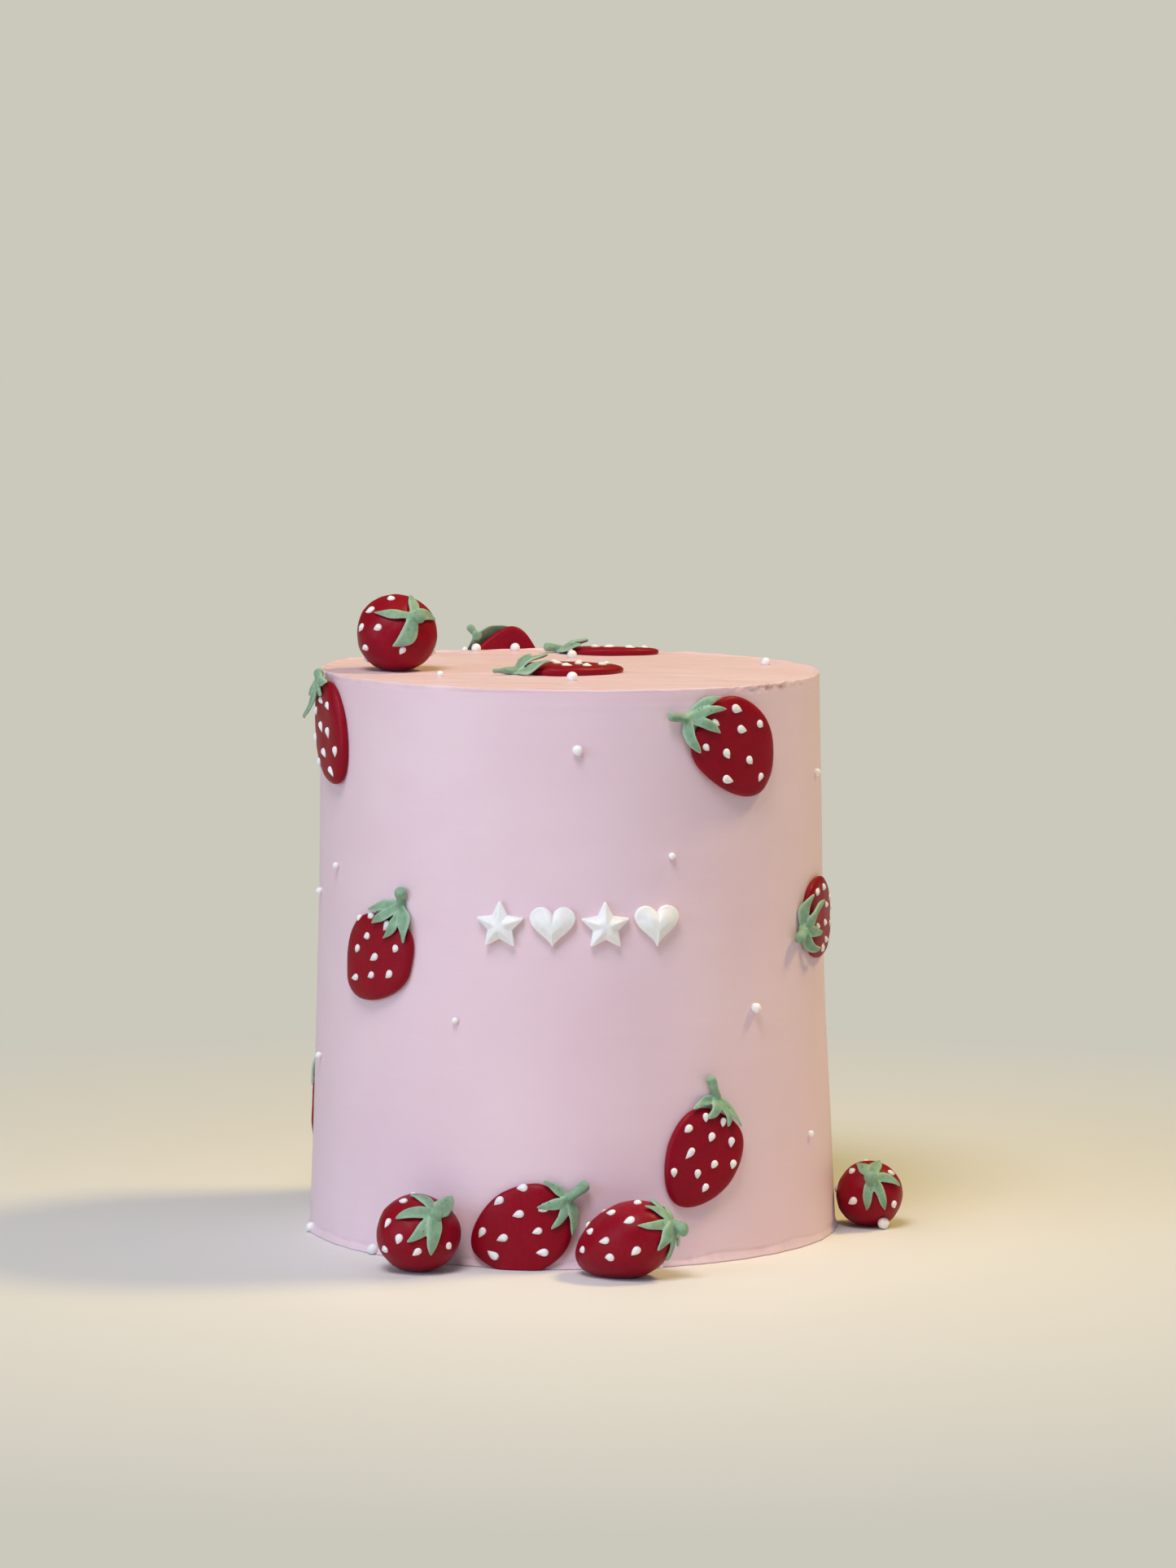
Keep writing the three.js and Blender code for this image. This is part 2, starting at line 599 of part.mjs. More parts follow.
function addBallBerry(parent, name, berry, start) {
  const draw = seededDraw(start);
  const seeds = berry.seeds.filter((spot) => clearOnBall(berry, spot)).map((spot) => (
    ballSeed(berry, spot, SEED_TURN * draw(), 1 + SEED_VARY * draw())
  ));
  const settle = ballFrame(berry).premultiply(new THREE.Matrix4().makeScale(1, 1, berry.squash));
  const ball = ballBody(berry).applyMatrix4(settle);
  const lowest = lowPoint(ball) + (berry.sag ?? BALL_SAG);
  const body = [warp(ball, (x, y, z) => new THREE.Vector3(x, y, Math.max(z, lowest)))];
  seeds.map((piece) => piece.applyMatrix4(settle)).forEach((piece) => {
    if (lowPoint(piece) > lowest + GAP) body.push(piece);
  });
  const centre = [berry.plan[0], berry.plan[1], berry.floor - lowest];
  if (berry.pearl) {
    const [x, y, diameter] = berry.pearl;
    body.push(pearl(diameter, [x - centre[0], y - centre[1], diameter / 2 - centre[2]]));
  }
  const calyx = calyxGeometry(ballMap(berry), () => 0, berry.calyx, BALL_LEAF_WIDTH).applyMatrix4(settle);
  const place = new THREE.Group();
  place.position.set(...centre);
  addNode(place, `berry_${name}`, joined(body), FONDANT_RED);
  addNode(place, `calyx_${name}`, calyx, FONDANT_GREEN);
  parent.add(place);
}

// Leaf tips as places on the flat map of a ball's top, from an angle out and an angle round
function tipsRound(size, rows) {
  const radius = (size[0] + size[1]) / 2;
  return rows.map(([angle, round, ...rest]) => {
    const reach = rad(angle) * radius;
    return [reach * Math.cos(rad(round)), reach * Math.sin(rad(round)), ...rest];
  });
}

// Plan is the centre's x and y, and floor what the berry rests on. Seeds are angles in degrees:
// from the calyx, and round the axis from the right.
const BALL_BERRIES = {
  ball_top: {
    size: [12, 11.8], taper: 0.12, squash: 0.965, azimuth: 30.4, rise: 31.1,
    plan: [-52.8, -6], floor: topHeight(-52.8) + GAP,
    seeds: [[44, 110], [62, 146], [79, 170], [49, -175], [89, -161], [49, -113], [75, -40], [100, -90],
      [80, 20], [120, 90], [125, -20], [135, -150], [110, 50]],
    calyx: { at: [0, 0], stem: [1.2, -0.5, 2.2], knob: 1.7,
      leaves: [[47, 70, 0.4, 0, 0.8], [52, 157, -0.5, 0, 0.75], [50, -132, -1.7, 0, 1.3],
        [42, 2, -0.6, 0, 0.9]] },
  },
  foot_left: {
    size: [12.1, 11.8], taper: 0.14, squash: 0.94, azimuth: 35, rise: 40,
    plan: [-44.97, -78.9], floor: 0,
    seeds: [[64, 165], [59, -162], [58, -127], [46, -72], [95, -166], [65, 84], [50, 13], [46, 123],
      [98, -100], [90, -30], [110, 40], [112, 130]],
    calyx: { at: [0, 0], stem: [-0.3, -0.5, 1.8], knob: 1.6,
      leaves: [[44, 106, 1.3], [50, 167, 0.5], [54, -150, -1], [57, -106, 0.6, 0, 1.1],
        [46, 34, 0.4, 2.2, 1.25]] },
  },
  foot_right: {
    size: [10.8, 15.4], taper: 0.18, squash: 0.99, azimuth: 66.5, rise: 24, sag: 1.1,
    plan: [14.6, -89.6], floor: 0,
    seeds: [[51, 102], [80, 122], [57, 148], [110, 137], [91, 167], [129, 161], [93, -166], [62, -160],
      [62, -80], [100, 80], [120, 100], [95, -60], [125, -110], [80, 10], [115, 30]],
    calyx: { at: [0, 0], stem: [0.5, -2.2, 3.6], knob: 1.6,
      leaves: [[42, 88, 0.4, 0.3, 0.8], [40, 118, 0.4, 0.2, 0.8], [50, 161, -0.8, 0, 0.85],
        [42, -137, 0.5, 0, 1.1], [48, -98, -0.4, 0, 1], [40, -50, -0.6, 0.6], [38, 40, 0.5, 0.4, 0.9]] },
  },
  right_back: {
    size: [9.9, 10.8], taper: 0.05, squash: 0.98, azimuth: 1.4, rise: 35.3,
    plan: [89, -4.8], floor: 0, pearl: [92.9, -11.6, 3.5],
    seeds: [[43, 143], [50, -135], [44, 30], [62, -40], [72, 96], [95, -100], [90, 170], [96, 30],
      [120, 120], [120, -30]],
    calyx: { at: [0, 0], stem: [-0.3, -0.5, 2.2], knob: 1.7,
      leaves: [[44, 124, 0.5], [46, 68, -0.5], [52, -5, -1.1, 0, 0.9], [54, -101, 0.3, 0, 0.85],
        [58, -64, -0.4, 0, 0.85]] },
  },
};

// White pieces on the front

// A slab with an outline and sides that rise to a ridge; place gives the outline at an angle
function bevelled(outline, sides, ridge) {
  const profile = [[0, 0], [1, 0], [1, SLAB_THICKNESS], [ridge, SLAB_THICKNESS + BEVEL_HEIGHT]];
  if (ridge > 0) profile.push([0, SLAB_THICKNESS + BEVEL_HEIGHT]);
  return warp(turned(profile, sides), (x, y, z) => {
    const share = Math.hypot(x, y);
    const [across, up] = outline(Math.atan2(x, y));
    return new THREE.Vector3(across * share, up * share, z);
  });
}

function starOutline(angle) {
  const point = Math.round(angle * STAR_POINTS / Math.PI);
  const radius = STAR_RADIUS * (point % 2 === 0 ? 1 : STAR_INNER);
  return [radius * Math.sin(angle), radius * Math.cos(angle)];
}

function heartOutline(angle) {
  const unit = HEART_HALF_WIDTH / 16;
  const up = 13 * Math.cos(angle) - 5 * Math.cos(2 * angle) - 2 * Math.cos(3 * angle) - Math.cos(4 * angle);
  return [unit * 16 * Math.sin(angle) ** 3, unit * (up + 2)];
}

function addFrontPieces(parent) {
  PIECE_AZIMUTHS.forEach((azimuth, index) => {
    const isStar = index % 2 === 0;
    const piece = isStar
      ? bevelled(starOutline, 2 * STAR_POINTS, 0)
      : bevelled(heartOutline, HEART_SIDES, HEART_RIDGE);
    const surface = onSide(azimuth, PIECE_HEIGHT_UP, 90);
    warp(piece, (x, y, z) => surface(x, y, z));
    addNode(parent, `${isStar ? 'star' : 'heart'}_${index + 1}`, joined([piece]), WHITE_SUGAR);
  });
}

const ICING = material(0xdcbfc8, 0.6);
const FONDANT_RED = material(0x8c1c2c, 0.65);
const FONDANT_GREEN = material(0x86b08e, 0.65);
const WHITE_SUGAR = material(0xf3efee, 0.5);

const flatCount = Object.keys(FLAT_BERRIES).length;
const cake = new THREE.Group();
addNode(cake, 'cake', cakeGeometry(), ICING);
Object.entries(FLAT_BERRIES).forEach(([name, berry], index) => {
  addFlatBerry(cake, name, berry, index + 1);
});
Object.entries(BALL_BERRIES).forEach(([name, berry], index) => {
  const calyx = { ...berry.calyx, leaves: tipsRound(berry.size, berry.calyx.leaves) };
  addBallBerry(cake, name, { ...berry, calyx }, flatCount + index + 1);
});
addFrontPieces(cake);

export default cake;
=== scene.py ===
"""Looks of a tall pink birthday cake with sugar strawberries, stars, hearts and pearls.

Shapes are worked out in millimetres and turned into metres when a mesh is made.
"""
import math

import bpy
import numpy as np
from mathutils import Matrix, Vector, kdtree


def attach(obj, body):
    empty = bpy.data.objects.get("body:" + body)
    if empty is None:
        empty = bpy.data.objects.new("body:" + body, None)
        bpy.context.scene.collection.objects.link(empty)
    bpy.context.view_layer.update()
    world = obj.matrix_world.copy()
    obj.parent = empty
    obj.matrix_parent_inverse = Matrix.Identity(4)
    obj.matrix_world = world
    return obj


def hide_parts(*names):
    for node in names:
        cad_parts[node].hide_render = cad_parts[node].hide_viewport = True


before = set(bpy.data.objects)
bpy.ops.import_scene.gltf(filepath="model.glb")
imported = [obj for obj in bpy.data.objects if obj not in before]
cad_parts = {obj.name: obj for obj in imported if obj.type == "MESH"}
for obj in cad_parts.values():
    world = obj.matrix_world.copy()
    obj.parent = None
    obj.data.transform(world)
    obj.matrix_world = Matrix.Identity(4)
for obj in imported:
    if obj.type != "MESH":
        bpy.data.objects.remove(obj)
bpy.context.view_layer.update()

MM = 0.001
TAU = 2 * math.pi

# The cake, as in the part's source
FOOT_RADIUS = 79.0
TOP_RADIUS = 74.4
CAKE_HEIGHT = 166.7
WAIST = 1.0
TOP_SHIFT = -0.93
TOP_SLOPE = -0.007
FOOT_FLARE = 0.6
FLARE_HEIGHT = 2.4
LIP_WIDTH = 1.6
LIP_PROFILE = [(0, 0), (0.05, 0.25), (0.25, 0.45), (0.55, 0.5), (0.95, 0.35), (1.4, 0.1)]
GAP = 0.3

# Mesh fineness: sides round an axis; a grid has rings and sides
CAKE_SIDES = 640
FLAT_SIDES = 120
PIECE_SIDES = 240
COLLAR_SIDES = 20
BALL_GRID = (72, 112)
PEARL_GRID = (13, 24)
SEED_GRID = (13, 32)
LEAF_GRID = (30, 20)
STEM_GRID = (16, 24)
VOXEL = 0.2
SMOOTHINGS = 5

# The cake's sides lie closest together round the middle of the torn rim, in degrees
CROWDING = 0.55
TORN_MIDDLE = 46

# Flat strawberries
FLAT_THICKNESS = 2.6
FLAT_EDGE = 0.8
FACE_POWER = 8
SHOULDER = 0.7
PRESSED = 0.42

# What a berry has unless its own row says otherwise; balls sag under their own weight
USUAL = dict(middle=(0.2, -0.5), taper=0.13, square=2.0, skew=(0, 0), thick=1, thins=(0, 0),
             at=(0, 0), neck=1.1, knob=1.5, sag=0.6, floor=0)
SETTLE_SOFTNESS = 0.05
SEED_CLEARANCE = 0.5

# Numbers that set draws going: where a berry's seeds start, and how far its leaves lie apart
FLAT_DRAWS = 400
BALL_DRAWS = 500
LEAF_DRAW_STEP = 31

# Seeds; the peak and the dimple have a height, a place across and along, and a spread
SEED_WIDTH = 2.0
SEED_LENGTH = 2.8
SEED_HEIGHT = 0.88
SEED_SINK = 0.12
SEED_POINT = 0.5
SEED_SPREAD = 1.08
LEAST_TAIL = 0.4
TAIL_EXTRA = 0.25
TAIL_SPREAD = 1.4
TAIL_CURL = 0.12
HEAD_AHEAD = 0.3
SEED_PEAK = (0.16, 0, -0.35, 0.3)
SEED_DIMPLE = (-0.22, 0.1, 0.35, 0.12)
SEED_AHEAD = 0.07

# Rows of seeds on a berry, as shares of its half length and half width
SEED_ROWS = 4
FIRST_ROW = -0.72
ROW_STEP = 0.4
COLUMN_STEP = 0.6
SEED_REACH = 0.8
SEED_STRAY = 0.7
CLEAR_OF_LEAF = 1.55
CLEAR_OF_TIP = 1.85

# Leaves and stems
LEAF_WIDTH = 3.5
BALL_LEAF_WIDTH = 3.9
LEAF_THICKNESS = 1.15
LEAF_START = 0.2
LEAF_STEP = 0.5
LEAF_WOBBLE = 0.07
LEAF_SWAY = 0.2
LEAF_RIPPLE = 0.16
LEAF_CURL = 0.4
DOT_SIZE = 0.22
DOT_DEPTH = 0.1
STEM_SINK = 0.8
KNOB_LENGTH = 0.75
COLLAR_RADIUS = 1.7
COLLAR_HEIGHT = 1.7
COLLAR_SINK = 0.3
COLLAR_PROFILE = [(0, 0), (0.7, 0.02), (1, 0.3), (0.8, 0.7), (0.4, 0.95), (0, 1)]

# Drawn for a leaf: the beat and the start of its wobble, where its sway and ripple start, its curl
LEAF_DRAWS = [(7, 11), (0, TAU), (0, TAU), (0, TAU), (0.3, 1.2)]

# Pearls sink into the icing by this share of their radius
PEARL_SINK = 0.4

# White pieces on the front
PIECE_HEIGHT_UP = 99.1
PIECE_AZIMUTHS = [-15.5, -4.0, 7.4, 18.8]
PIECE_THICKNESS = 3.1
STAR_RADIUS = 7.5
STAR_INNER = 0.5
STAR_ROUNDING = 0.05
HEART_HALF_WIDTH = 6.5
HEART_ROUNDING = 0.03

# Camera
FOCAL_PIXELS = 7500
LONG_SIDE_PIXELS = 1926
SENSOR_MM = 36
CAMERA_PLACE = (0, -1814, 318.1)
CAMERA_PITCH = 5.843
CAMERA_YAW = -0.140
CAMERA_ROLL = 0.07


def linear(red, green, blue):
    """An opaque colour given in display values from 0 to 255, as linear light."""
    shares = [value / 255 for value in (red, green, blue)]
    return (*(s / 12.92 if s <= 0.04045 else ((s + 0.055) / 1.055) ** 2.4 for s in shares), 1)


def smoothstep(value, low, high):
    share = np.clip((value - low) / (high - low), 0, 1)
    return share * share * (3 - 2 * share)


def between(value, start, full, fade, end):
    """1 from full to fade, and 0 before start and after end."""
    return smoothstep(value, start, full) * (1 - smoothstep(value, fade, end))


def waves(points, size, seed, count=14):
    """A smooth uneven field, about -1 to 1, with bumps of that size along each axis."""
    draw = np.random.default_rng(seed)
    vectors = draw.normal(size=(count, points.shape[-1]))
    vectors *= (draw.uniform(0.6, 1.5, count) / np.linalg.norm(vectors, axis=1))[:, None]
    phases = draw.uniform(0, TAU, count)
    return np.cos(points / np.asarray(size) * TAU @ vectors.T + phases).sum(-1) / math.sqrt(count)


def relief(points, rows, start=0):
    """Uneven fields on top of each other, each row with its height, bump size and seed number."""
    return sum(height * waves(points, size, number + start) for height, size, number in rows)


def placed(name, data):
    """A new object in the scene."""
    made = bpy.data.objects.new(name, data)
    bpy.context.scene.collection.objects.link(made)
    return made


def cos_sin(degrees):
    return math.cos(math.radians(degrees)), math.sin(math.radians(degrees))


def unit(vector):
    return vector / np.linalg.norm(vector)


def make_camera():
    data = bpy.data.cameras.new("camera")
    data.sensor_width = SENSOR_MM
    data.lens = FOCAL_PIXELS / LONG_SIDE_PIXELS * SENSOR_MM
    data.clip_end = 50
    camera = placed("camera", data)
    turn = Matrix.Rotation(math.radians(CAMERA_YAW), 4, "Z")
    tilt = Matrix.Rotation(math.radians(90 - CAMERA_PITCH), 4, "X")
    roll = Matrix.Rotation(math.radians(CAMERA_ROLL), 4, "Z")
    camera.matrix_world = Matrix.Translation(Vector(CAMERA_PLACE) * MM) @ turn @ tilt @ roll
    bpy.context.scene.camera = camera


# Places on the cake

def side_radius(z):
    share = z / CAKE_HEIGHT
    flare = FOOT_FLARE * np.maximum(0, 1 - z / FLARE_HEIGHT) ** 2
    hollow = 4 * WAIST * share * (1 - share)
    return FOOT_RADIUS + (TOP_RADIUS - FOOT_RADIUS) * share + flare - hollow


def lean(z):
    return TOP_SHIFT * z / CAKE_HEIGHT


def top_height(x):
    return CAKE_HEIGHT + TOP_SLOPE * x


def on_side(azimuth, height, turn):
    """Local places on the side: x and y across the piece, y at the angle turn, n off the icing."""
    cos, sin = cos_sin(turn)

    def place(x, y, n):
        z = np.maximum(0, height - x * cos + y * sin)
        angle = math.radians(azimuth) + (x * sin + y * cos) / side_radius(height)
        radius = side_radius(z) + GAP + n
        return np.stack([lean(z) + radius * np.sin(angle), -radius * np.cos(angle), z], -1)
    return place


def on_top(centre_x, centre_y, turn):
    cos, sin = cos_sin(turn)

    def place(x, y, n):
        px = centre_x + x * sin + y * cos
        py = centre_y - x * cos + y * sin
        return np.stack([px, py, top_height(px) + GAP + n], -1)
    return place


# Meshes: a part is its vertices and its faces

def turned(profile, sides):
    """A turned form round +Z whose profile starts and ends on the axis."""
    profile = np.asarray(profile, float)
    angle = np.arange(sides) * TAU / sides
    ring = np.stack([np.cos(angle), np.sin(angle), np.ones(sides)], 1)
    body = (profile[1:-1, None, [0, 0, 1]] * ring).reshape(-1, 3)
    points = np.concatenate([[[0, 0, profile[0, 1]]], body, [[0, 0, profile[-1, 1]]]])
    pairs = [(j, (j + 1) % sides) for j in range(sides)]
    last = len(body) + 1
    top = last - sides
    faces = [[low + j, low + k, low + sides + k, low + sides + j]
             for low in range(1, top, sides) for j, k in pairs]
    faces += [[0, 1 + k, 1 + j] for j, k in pairs]
    return points, faces + [[last, top + j, top + k] for j, k in pairs]


def unit_ball(rings, sides):
    angle = np.linspace(math.pi, 0, rings)
    return turned(np.stack([np.sin(angle), np.cos(angle)], -1), sides)


def warped(part, place):
    points, faces = part
    return place(points[:, 0], points[:, 1], points[:, 2]), faces


def merged(parts):
    points, faces, start = [], [], 0
    for part_points, part_faces in parts:
        points.append(part_points)
        faces += [[start + corner for corner in face] for face in part_faces]
        start += len(part_points)
    return np.concatenate(points), faces


def new_mesh(name, part, scale=MM):
    points, faces = part
    mesh = bpy.data.meshes.new(name)
    mesh.from_pydata((np.asarray(points) * scale).tolist(), [], faces)
    mesh.update()
    return mesh


def add_piece(name, part, finish, slot, nodes, **attributes):
    mesh = new_mesh(name, part)
    mesh.polygons.foreach_set("use_smooth", [True] * len(mesh.polygons))
    for key, values in attributes.items():
        mesh.attributes.new(key, "FLOAT", "POINT").data.foreach_set("value", values.astype(np.float32))
    mesh.materials.append(finish)
    piece = placed(name, mesh)
    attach(piece, "root")
    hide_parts(*nodes)


def vectors(mesh, key):
    values = np.zeros(len(mesh.vertices) * 3)
    mesh.vertices.foreach_get(key, values)
    return values.reshape(-1, 3)


def fused(parts):
    """Joins overlapping closed parts into one skin, as soft paste pressed together."""
    loose = placed("loose", new_mesh("loose", merged(parts), 1))
    remesh = loose.modifiers.new("remesh", "REMESH")
    remesh.mode = "VOXEL"
    remesh.voxel_size = VOXEL
    smooth = loose.modifiers.new("smooth", "SMOOTH")
    smooth.factor = 0.5
    smooth.iterations = SMOOTHINGS
    graph = bpy.context.evaluated_depsgraph_get()
    result = bpy.data.meshes.new_from_object(loose.evaluated_get(graph))
    points, normals = vectors(result, "co"), vectors(result, "normal")
    faces = [list(face.vertices) for face in result.polygons]
    bpy.data.objects.remove(loose)
    return points, faces, normals


# Materials

# Sockets of the mix node that belong to colours
MIX_SHARE, MIX_FIRST, MIX_SECOND, MIX_RESULT = 0, 6, 7, 2


def node(tree, kind, inputs=None, **settings):
    made = tree.nodes.new(kind)
    for key, value in settings.items():
        setattr(made, key, value)
    for key, value in (inputs or {}).items():
        if isinstance(value, bpy.types.NodeSocket):
            tree.links.new(value, made.inputs[key])
        else:
            made.inputs[key].default_value = value
    return made


def new_material(name, **constants):
    finish = bpy.data.materials.new(name)
    finish.use_nodes = True
    tree = finish.node_tree
    shader = tree.nodes["Principled BSDF"]
    for key, value in constants.items():
        shader.inputs[key.replace("_", " ")].default_value = value
    return finish, tree, shader, node(tree, "ShaderNodeTexCoord").outputs["Object"]


def noise(tree, place, scale, detail=2.0, roughness=0.5, stretch=None):
    if stretch:
        place = node(tree, "ShaderNodeMapping", {"Vector": place, "Scale": stretch}).outputs[0]
    return node(tree, "ShaderNodeTexNoise", {
        "Vector": place, "Scale": scale, "Detail": detail, "Roughness": roughness,
    }).outputs["Fac"]


def spread(tree, value, low, high, to_low=0.0, to_high=1.0):
    """Maps a value from one range to another, held at the ends."""
    return node(tree, "ShaderNodeMapRange", {
        "Value": value, "From Min": low, "From Max": high, "To Min": to_low, "To Max": to_high,
    }).outputs["Result"]


def blend_colour(tree, share, first, second):
    sockets = {MIX_SHARE: share, MIX_FIRST: first, MIX_SECOND: second}
    return node(tree, "ShaderNodeMix", sockets, data_type="RGBA").outputs[MIX_RESULT]


def added(tree, first, second, weight):
    sockets = {0: second, 1: weight, 2: first}
    return node(tree, "ShaderNodeMath", sockets, operation="MULTIPLY_ADD").outputs[0]


def attribute(tree, name):
    return node(tree, "ShaderNodeAttribute", attribute_name=name).outputs["Fac"]


def coat(tree, shader, colour, height, distance, strength=0.6):
    """Gives a shader its colour and its fine relief."""
    tree.links.new(colour, shader.inputs["Base Color"])
    normal = node(tree, "ShaderNodeBump", {
        "Height": height, "Distance": distance, "Strength": strength,
    }).outputs["Normal"]
    tree.links.new(normal, shader.inputs["Normal"])


ICING_LIGHT = linear(239, 210, 220)
ICING_DEEP = linear(235, 203, 214)
ICING_STROKE = linear(226, 190, 196)
# Brown of the painted shade under the torn rim
RIM_SHADE_BROWN = linear(174, 122, 98)
RED_LIGHT = linear(152, 8, 36)
RED_DEEP = linear(136, 2, 26)
GREEN_LIGHT = linear(144, 177, 147)
GREEN_DEEP = linear(115, 150, 122)
GREEN_DOT = linear(52, 84, 64)
GREEN_EDGE = linear(172, 202, 174)
WHITE = linear(250, 247, 247)
WHITE_SHADE = linear(242, 238, 239)


def icing_material():
    finish, tree, shader, place = new_material(
        "icing", Roughness=0.5, Specular_IOR_Level=0.3, Subsurface_Weight=0.12,
        Subsurface_Radius=(0.004, 0.0025, 0.002), Subsurface_Scale=1.0,
    )
    blotch = spread(tree, noise(tree, place, 22, 3.0), 0.35, 0.65)
    streak = spread(tree, noise(tree, place, 60, 3.0, 0.6, (0.25, 1.6, 1.6)), 0.35, 0.7, 0, 0.45)
    tint = blend_colour(tree, blotch, ICING_LIGHT, ICING_DEEP)
    tint = blend_colour(tree, streak, tint, ICING_DEEP)
    height = node(tree, "ShaderNodeSeparateXYZ", {"Vector": place}).outputs["Z"]
    top = CAKE_HEIGHT * MM
    on_top_face = spread(tree, height, top - 0.0008, top - 0.0002)
    stroke = spread(tree, noise(tree, place, 130, 4.0, 0.6, (0.14, 1.5, 1)), 0.42, 0.72)
    stroke = node(tree, "ShaderNodeMath", {0: stroke, 1: on_top_face}, operation="MULTIPLY").outputs[0]
    tint = blend_colour(tree, spread(tree, stroke, 0, 1, 0, 0.7), tint, ICING_STROKE)
    # Painted shade under the torn rim, blended in brown
    tint = blend_colour(tree, spread(tree, attribute(tree, "crumb"), 0, 1, 0, 0.8), tint, RIM_SHADE_BROWN)
    grain = noise(tree, place, 1100, 3.0, 0.6)
    drag = noise(tree, place, 160, 4.0, 0.55, (0.3, 0.3, 1.8))
    marks = added(tree, added(tree, drag, grain, 0.35), stroke, 1.2)
    coat(tree, shader, tint, marks, 0.00015)
    return finish


def red_material():
    finish, tree, shader, place = new_material(
        "red_fondant", Roughness=0.42, Specular_IOR_Level=0.15,
    )
    speckle = spread(tree, noise(tree, place, 1500, 2.0, 0.6), 0.3, 0.7)
    blotch = spread(tree, noise(tree, place, 120, 3.0), 0.35, 0.65, 0, 0.6)
    tint = blend_colour(tree, speckle, RED_DEEP, RED_LIGHT)
    tint = blend_colour(tree, blotch, tint, RED_DEEP)
    grain = noise(tree, place, 1800, 3.0, 0.65)
    knead = noise(tree, place, 260, 3.0, 0.5)
    coat(tree, shader, tint, added(tree, grain, knead, 1.2), 0.00009)
    return finish


def green_material():
    finish, tree, shader, place = new_material(
        "green_fondant", Roughness=0.6, Specular_IOR_Level=0.3, Sheen_Weight=0.1,
    )
    mottle = spread(tree, noise(tree, place, 420, 4.0, 0.6), 0.32, 0.68)
    tint = blend_colour(tree, mottle, GREEN_DEEP, GREEN_LIGHT)
    edge = spread(tree, attribute(tree, "edge"), 0.45, 1.0, 0, 0.75)
    tint = blend_colour(tree, edge, tint, GREEN_EDGE)
    tint = blend_colour(tree, attribute(tree, "dot"), tint, GREEN_DOT)
    grain = noise(tree, place, 1500, 3.0, 0.6)
    crease = noise(tree, place, 380, 3.0, 0.6)
    coat(tree, shader, tint, added(tree, grain, crease, 1.5), 0.0001)
    return finish


def white_material(name, roughness, specular, bump_height):
    finish, tree, shader, place = new_material(
        name, Roughness=roughness, Specular_IOR_Level=specular, Subsurface_Weight=0.2,
        Subsurface_Radius=(0.002, 0.002, 0.002), Subsurface_Scale=1.0,
    )
    mottle = spread(tree, noise(tree, place, 500, 3.0), 0.35, 0.65)
    tint = blend_colour(tree, mottle, WHITE, WHITE_SHADE)
    coat(tree, shader, tint, noise(tree, place, 1300, 3.0, 0.6), bump_height, 0.5)
    return finish


# The cake

# Pearls are azimuth, height and diameter; on the top and on the ground x, y and diameter; at the
# foot azimuth and diameter
SIDE_PEARLS = [
    [1.6, 149.8, 3.1], [22.7, 118.8, 2], [-26, 70.9, 2], [-66, 111.5, 2],
    [44.3, 72.7, 3], [64.3, 32.4, 2], [75.6, 138, 2.2], [-80, 101.9, 2.2],
    [-76.4, 53.3, 2.2], [110, 84, 2.2], [107, 157, 3], [128, 50, 3],
    [172, 22, 2], [-150, 74, 3], [-104, 140, 2], [-122, 24, 2.2],
]
TOP_PEARLS = [
    [-39.1, -27.4, 2.1], [-30, 66, 3], [-18, 69, 3], [-33.5, 64.9, 1.8],
    [-42.9, 55.5, 2], [-0.4, 43.7, 3], [-0.3, -38.2, 3.3], [58.1, 23.3, 2.9],
]
FOOT_PEARLS = [[-77.7, 3], [-47, 3.1]]
LOOSE_PEARL = [92.9, -11.6, 3.5]

# The icing's relief: rows of height, bump size and seed number
SCRAPER_MARKS = [(0.16, (55, 55, 60), 3), (0.035, (60, 60, 3.2), 4)]
FOOT_WAVES = [(0.16, 9, 5), (0.08, 3.4, 6)]
GROOVE_WAVES = [(0.5, 16, 7)]
RIM_NICKS = [(1, (3.6, 3.6, 1.8), 8), (0.5, (1.8, 1.8, 0.9), 9)]
RIM_PITS = [(1, 4.2, 10), (0.5, 12, 14)]
LIP_WAVES = [(0.3, 14, 11)]
TOP_STROKES = [(0.07, (11, 80), 12), (0.024, (3.6, 34), 13)]
TOP_PATCHES = [(0.4, 40, 15)]
TOP_DENTS = [(0.05, 16, 16)]
# Spots of the painted shade under the torn rim
RIM_SHADE_SPOTS = [(0.7, 7.0, 10), (0.3, 2.4, 17)]

# Bearings in degrees between which the rim is torn and the painted shade under it shows
TORN_SPAN = (34, 46, 66, 80)
RIM_SHADE_SPAN = (44, 49, 54, 60)
TEAR_DEPTH = 0.13
GROOVE_HEIGHT = 2.3
GROOVE_DEPTH = 0.16
SMEAR_BEARING = -78
SMEAR_HEIGHT = 0.5

# The spatula swung about this place beside the cake; its last stroke left a ridge that far out
SWING_X = 12
SWING_Y = -170
RIDGE_REACH = 190.5
RIDGE_MIDDLE = -44
RIDGE_HEIGHT = 0.34


def steps(*spans):
    """Values from span to span, each (start, end, step)."""
    return np.concatenate([np.arange(start, end - step / 4, step) for start, end, step in spans])


def icing_profile():
    foot = [(r, 0.0) for r in (0, 30, 60, 76)]
    side = [(side_radius(z), z) for z in steps((0, 6, 0.4), (6, 160, 2.6), (160, CAKE_HEIGHT, 0.35))]
    lip = [(TOP_RADIUS - back, CAKE_HEIGHT + up) for back, up in LIP_PROFILE]
    top = [(r, CAKE_HEIGHT) for r in TOP_RADIUS - LIP_WIDTH - 0.4 - steps((0, 4, 0.8), (4, 68, 1.7))]
    return foot + side + lip + top + [(0, CAKE_HEIGHT)]


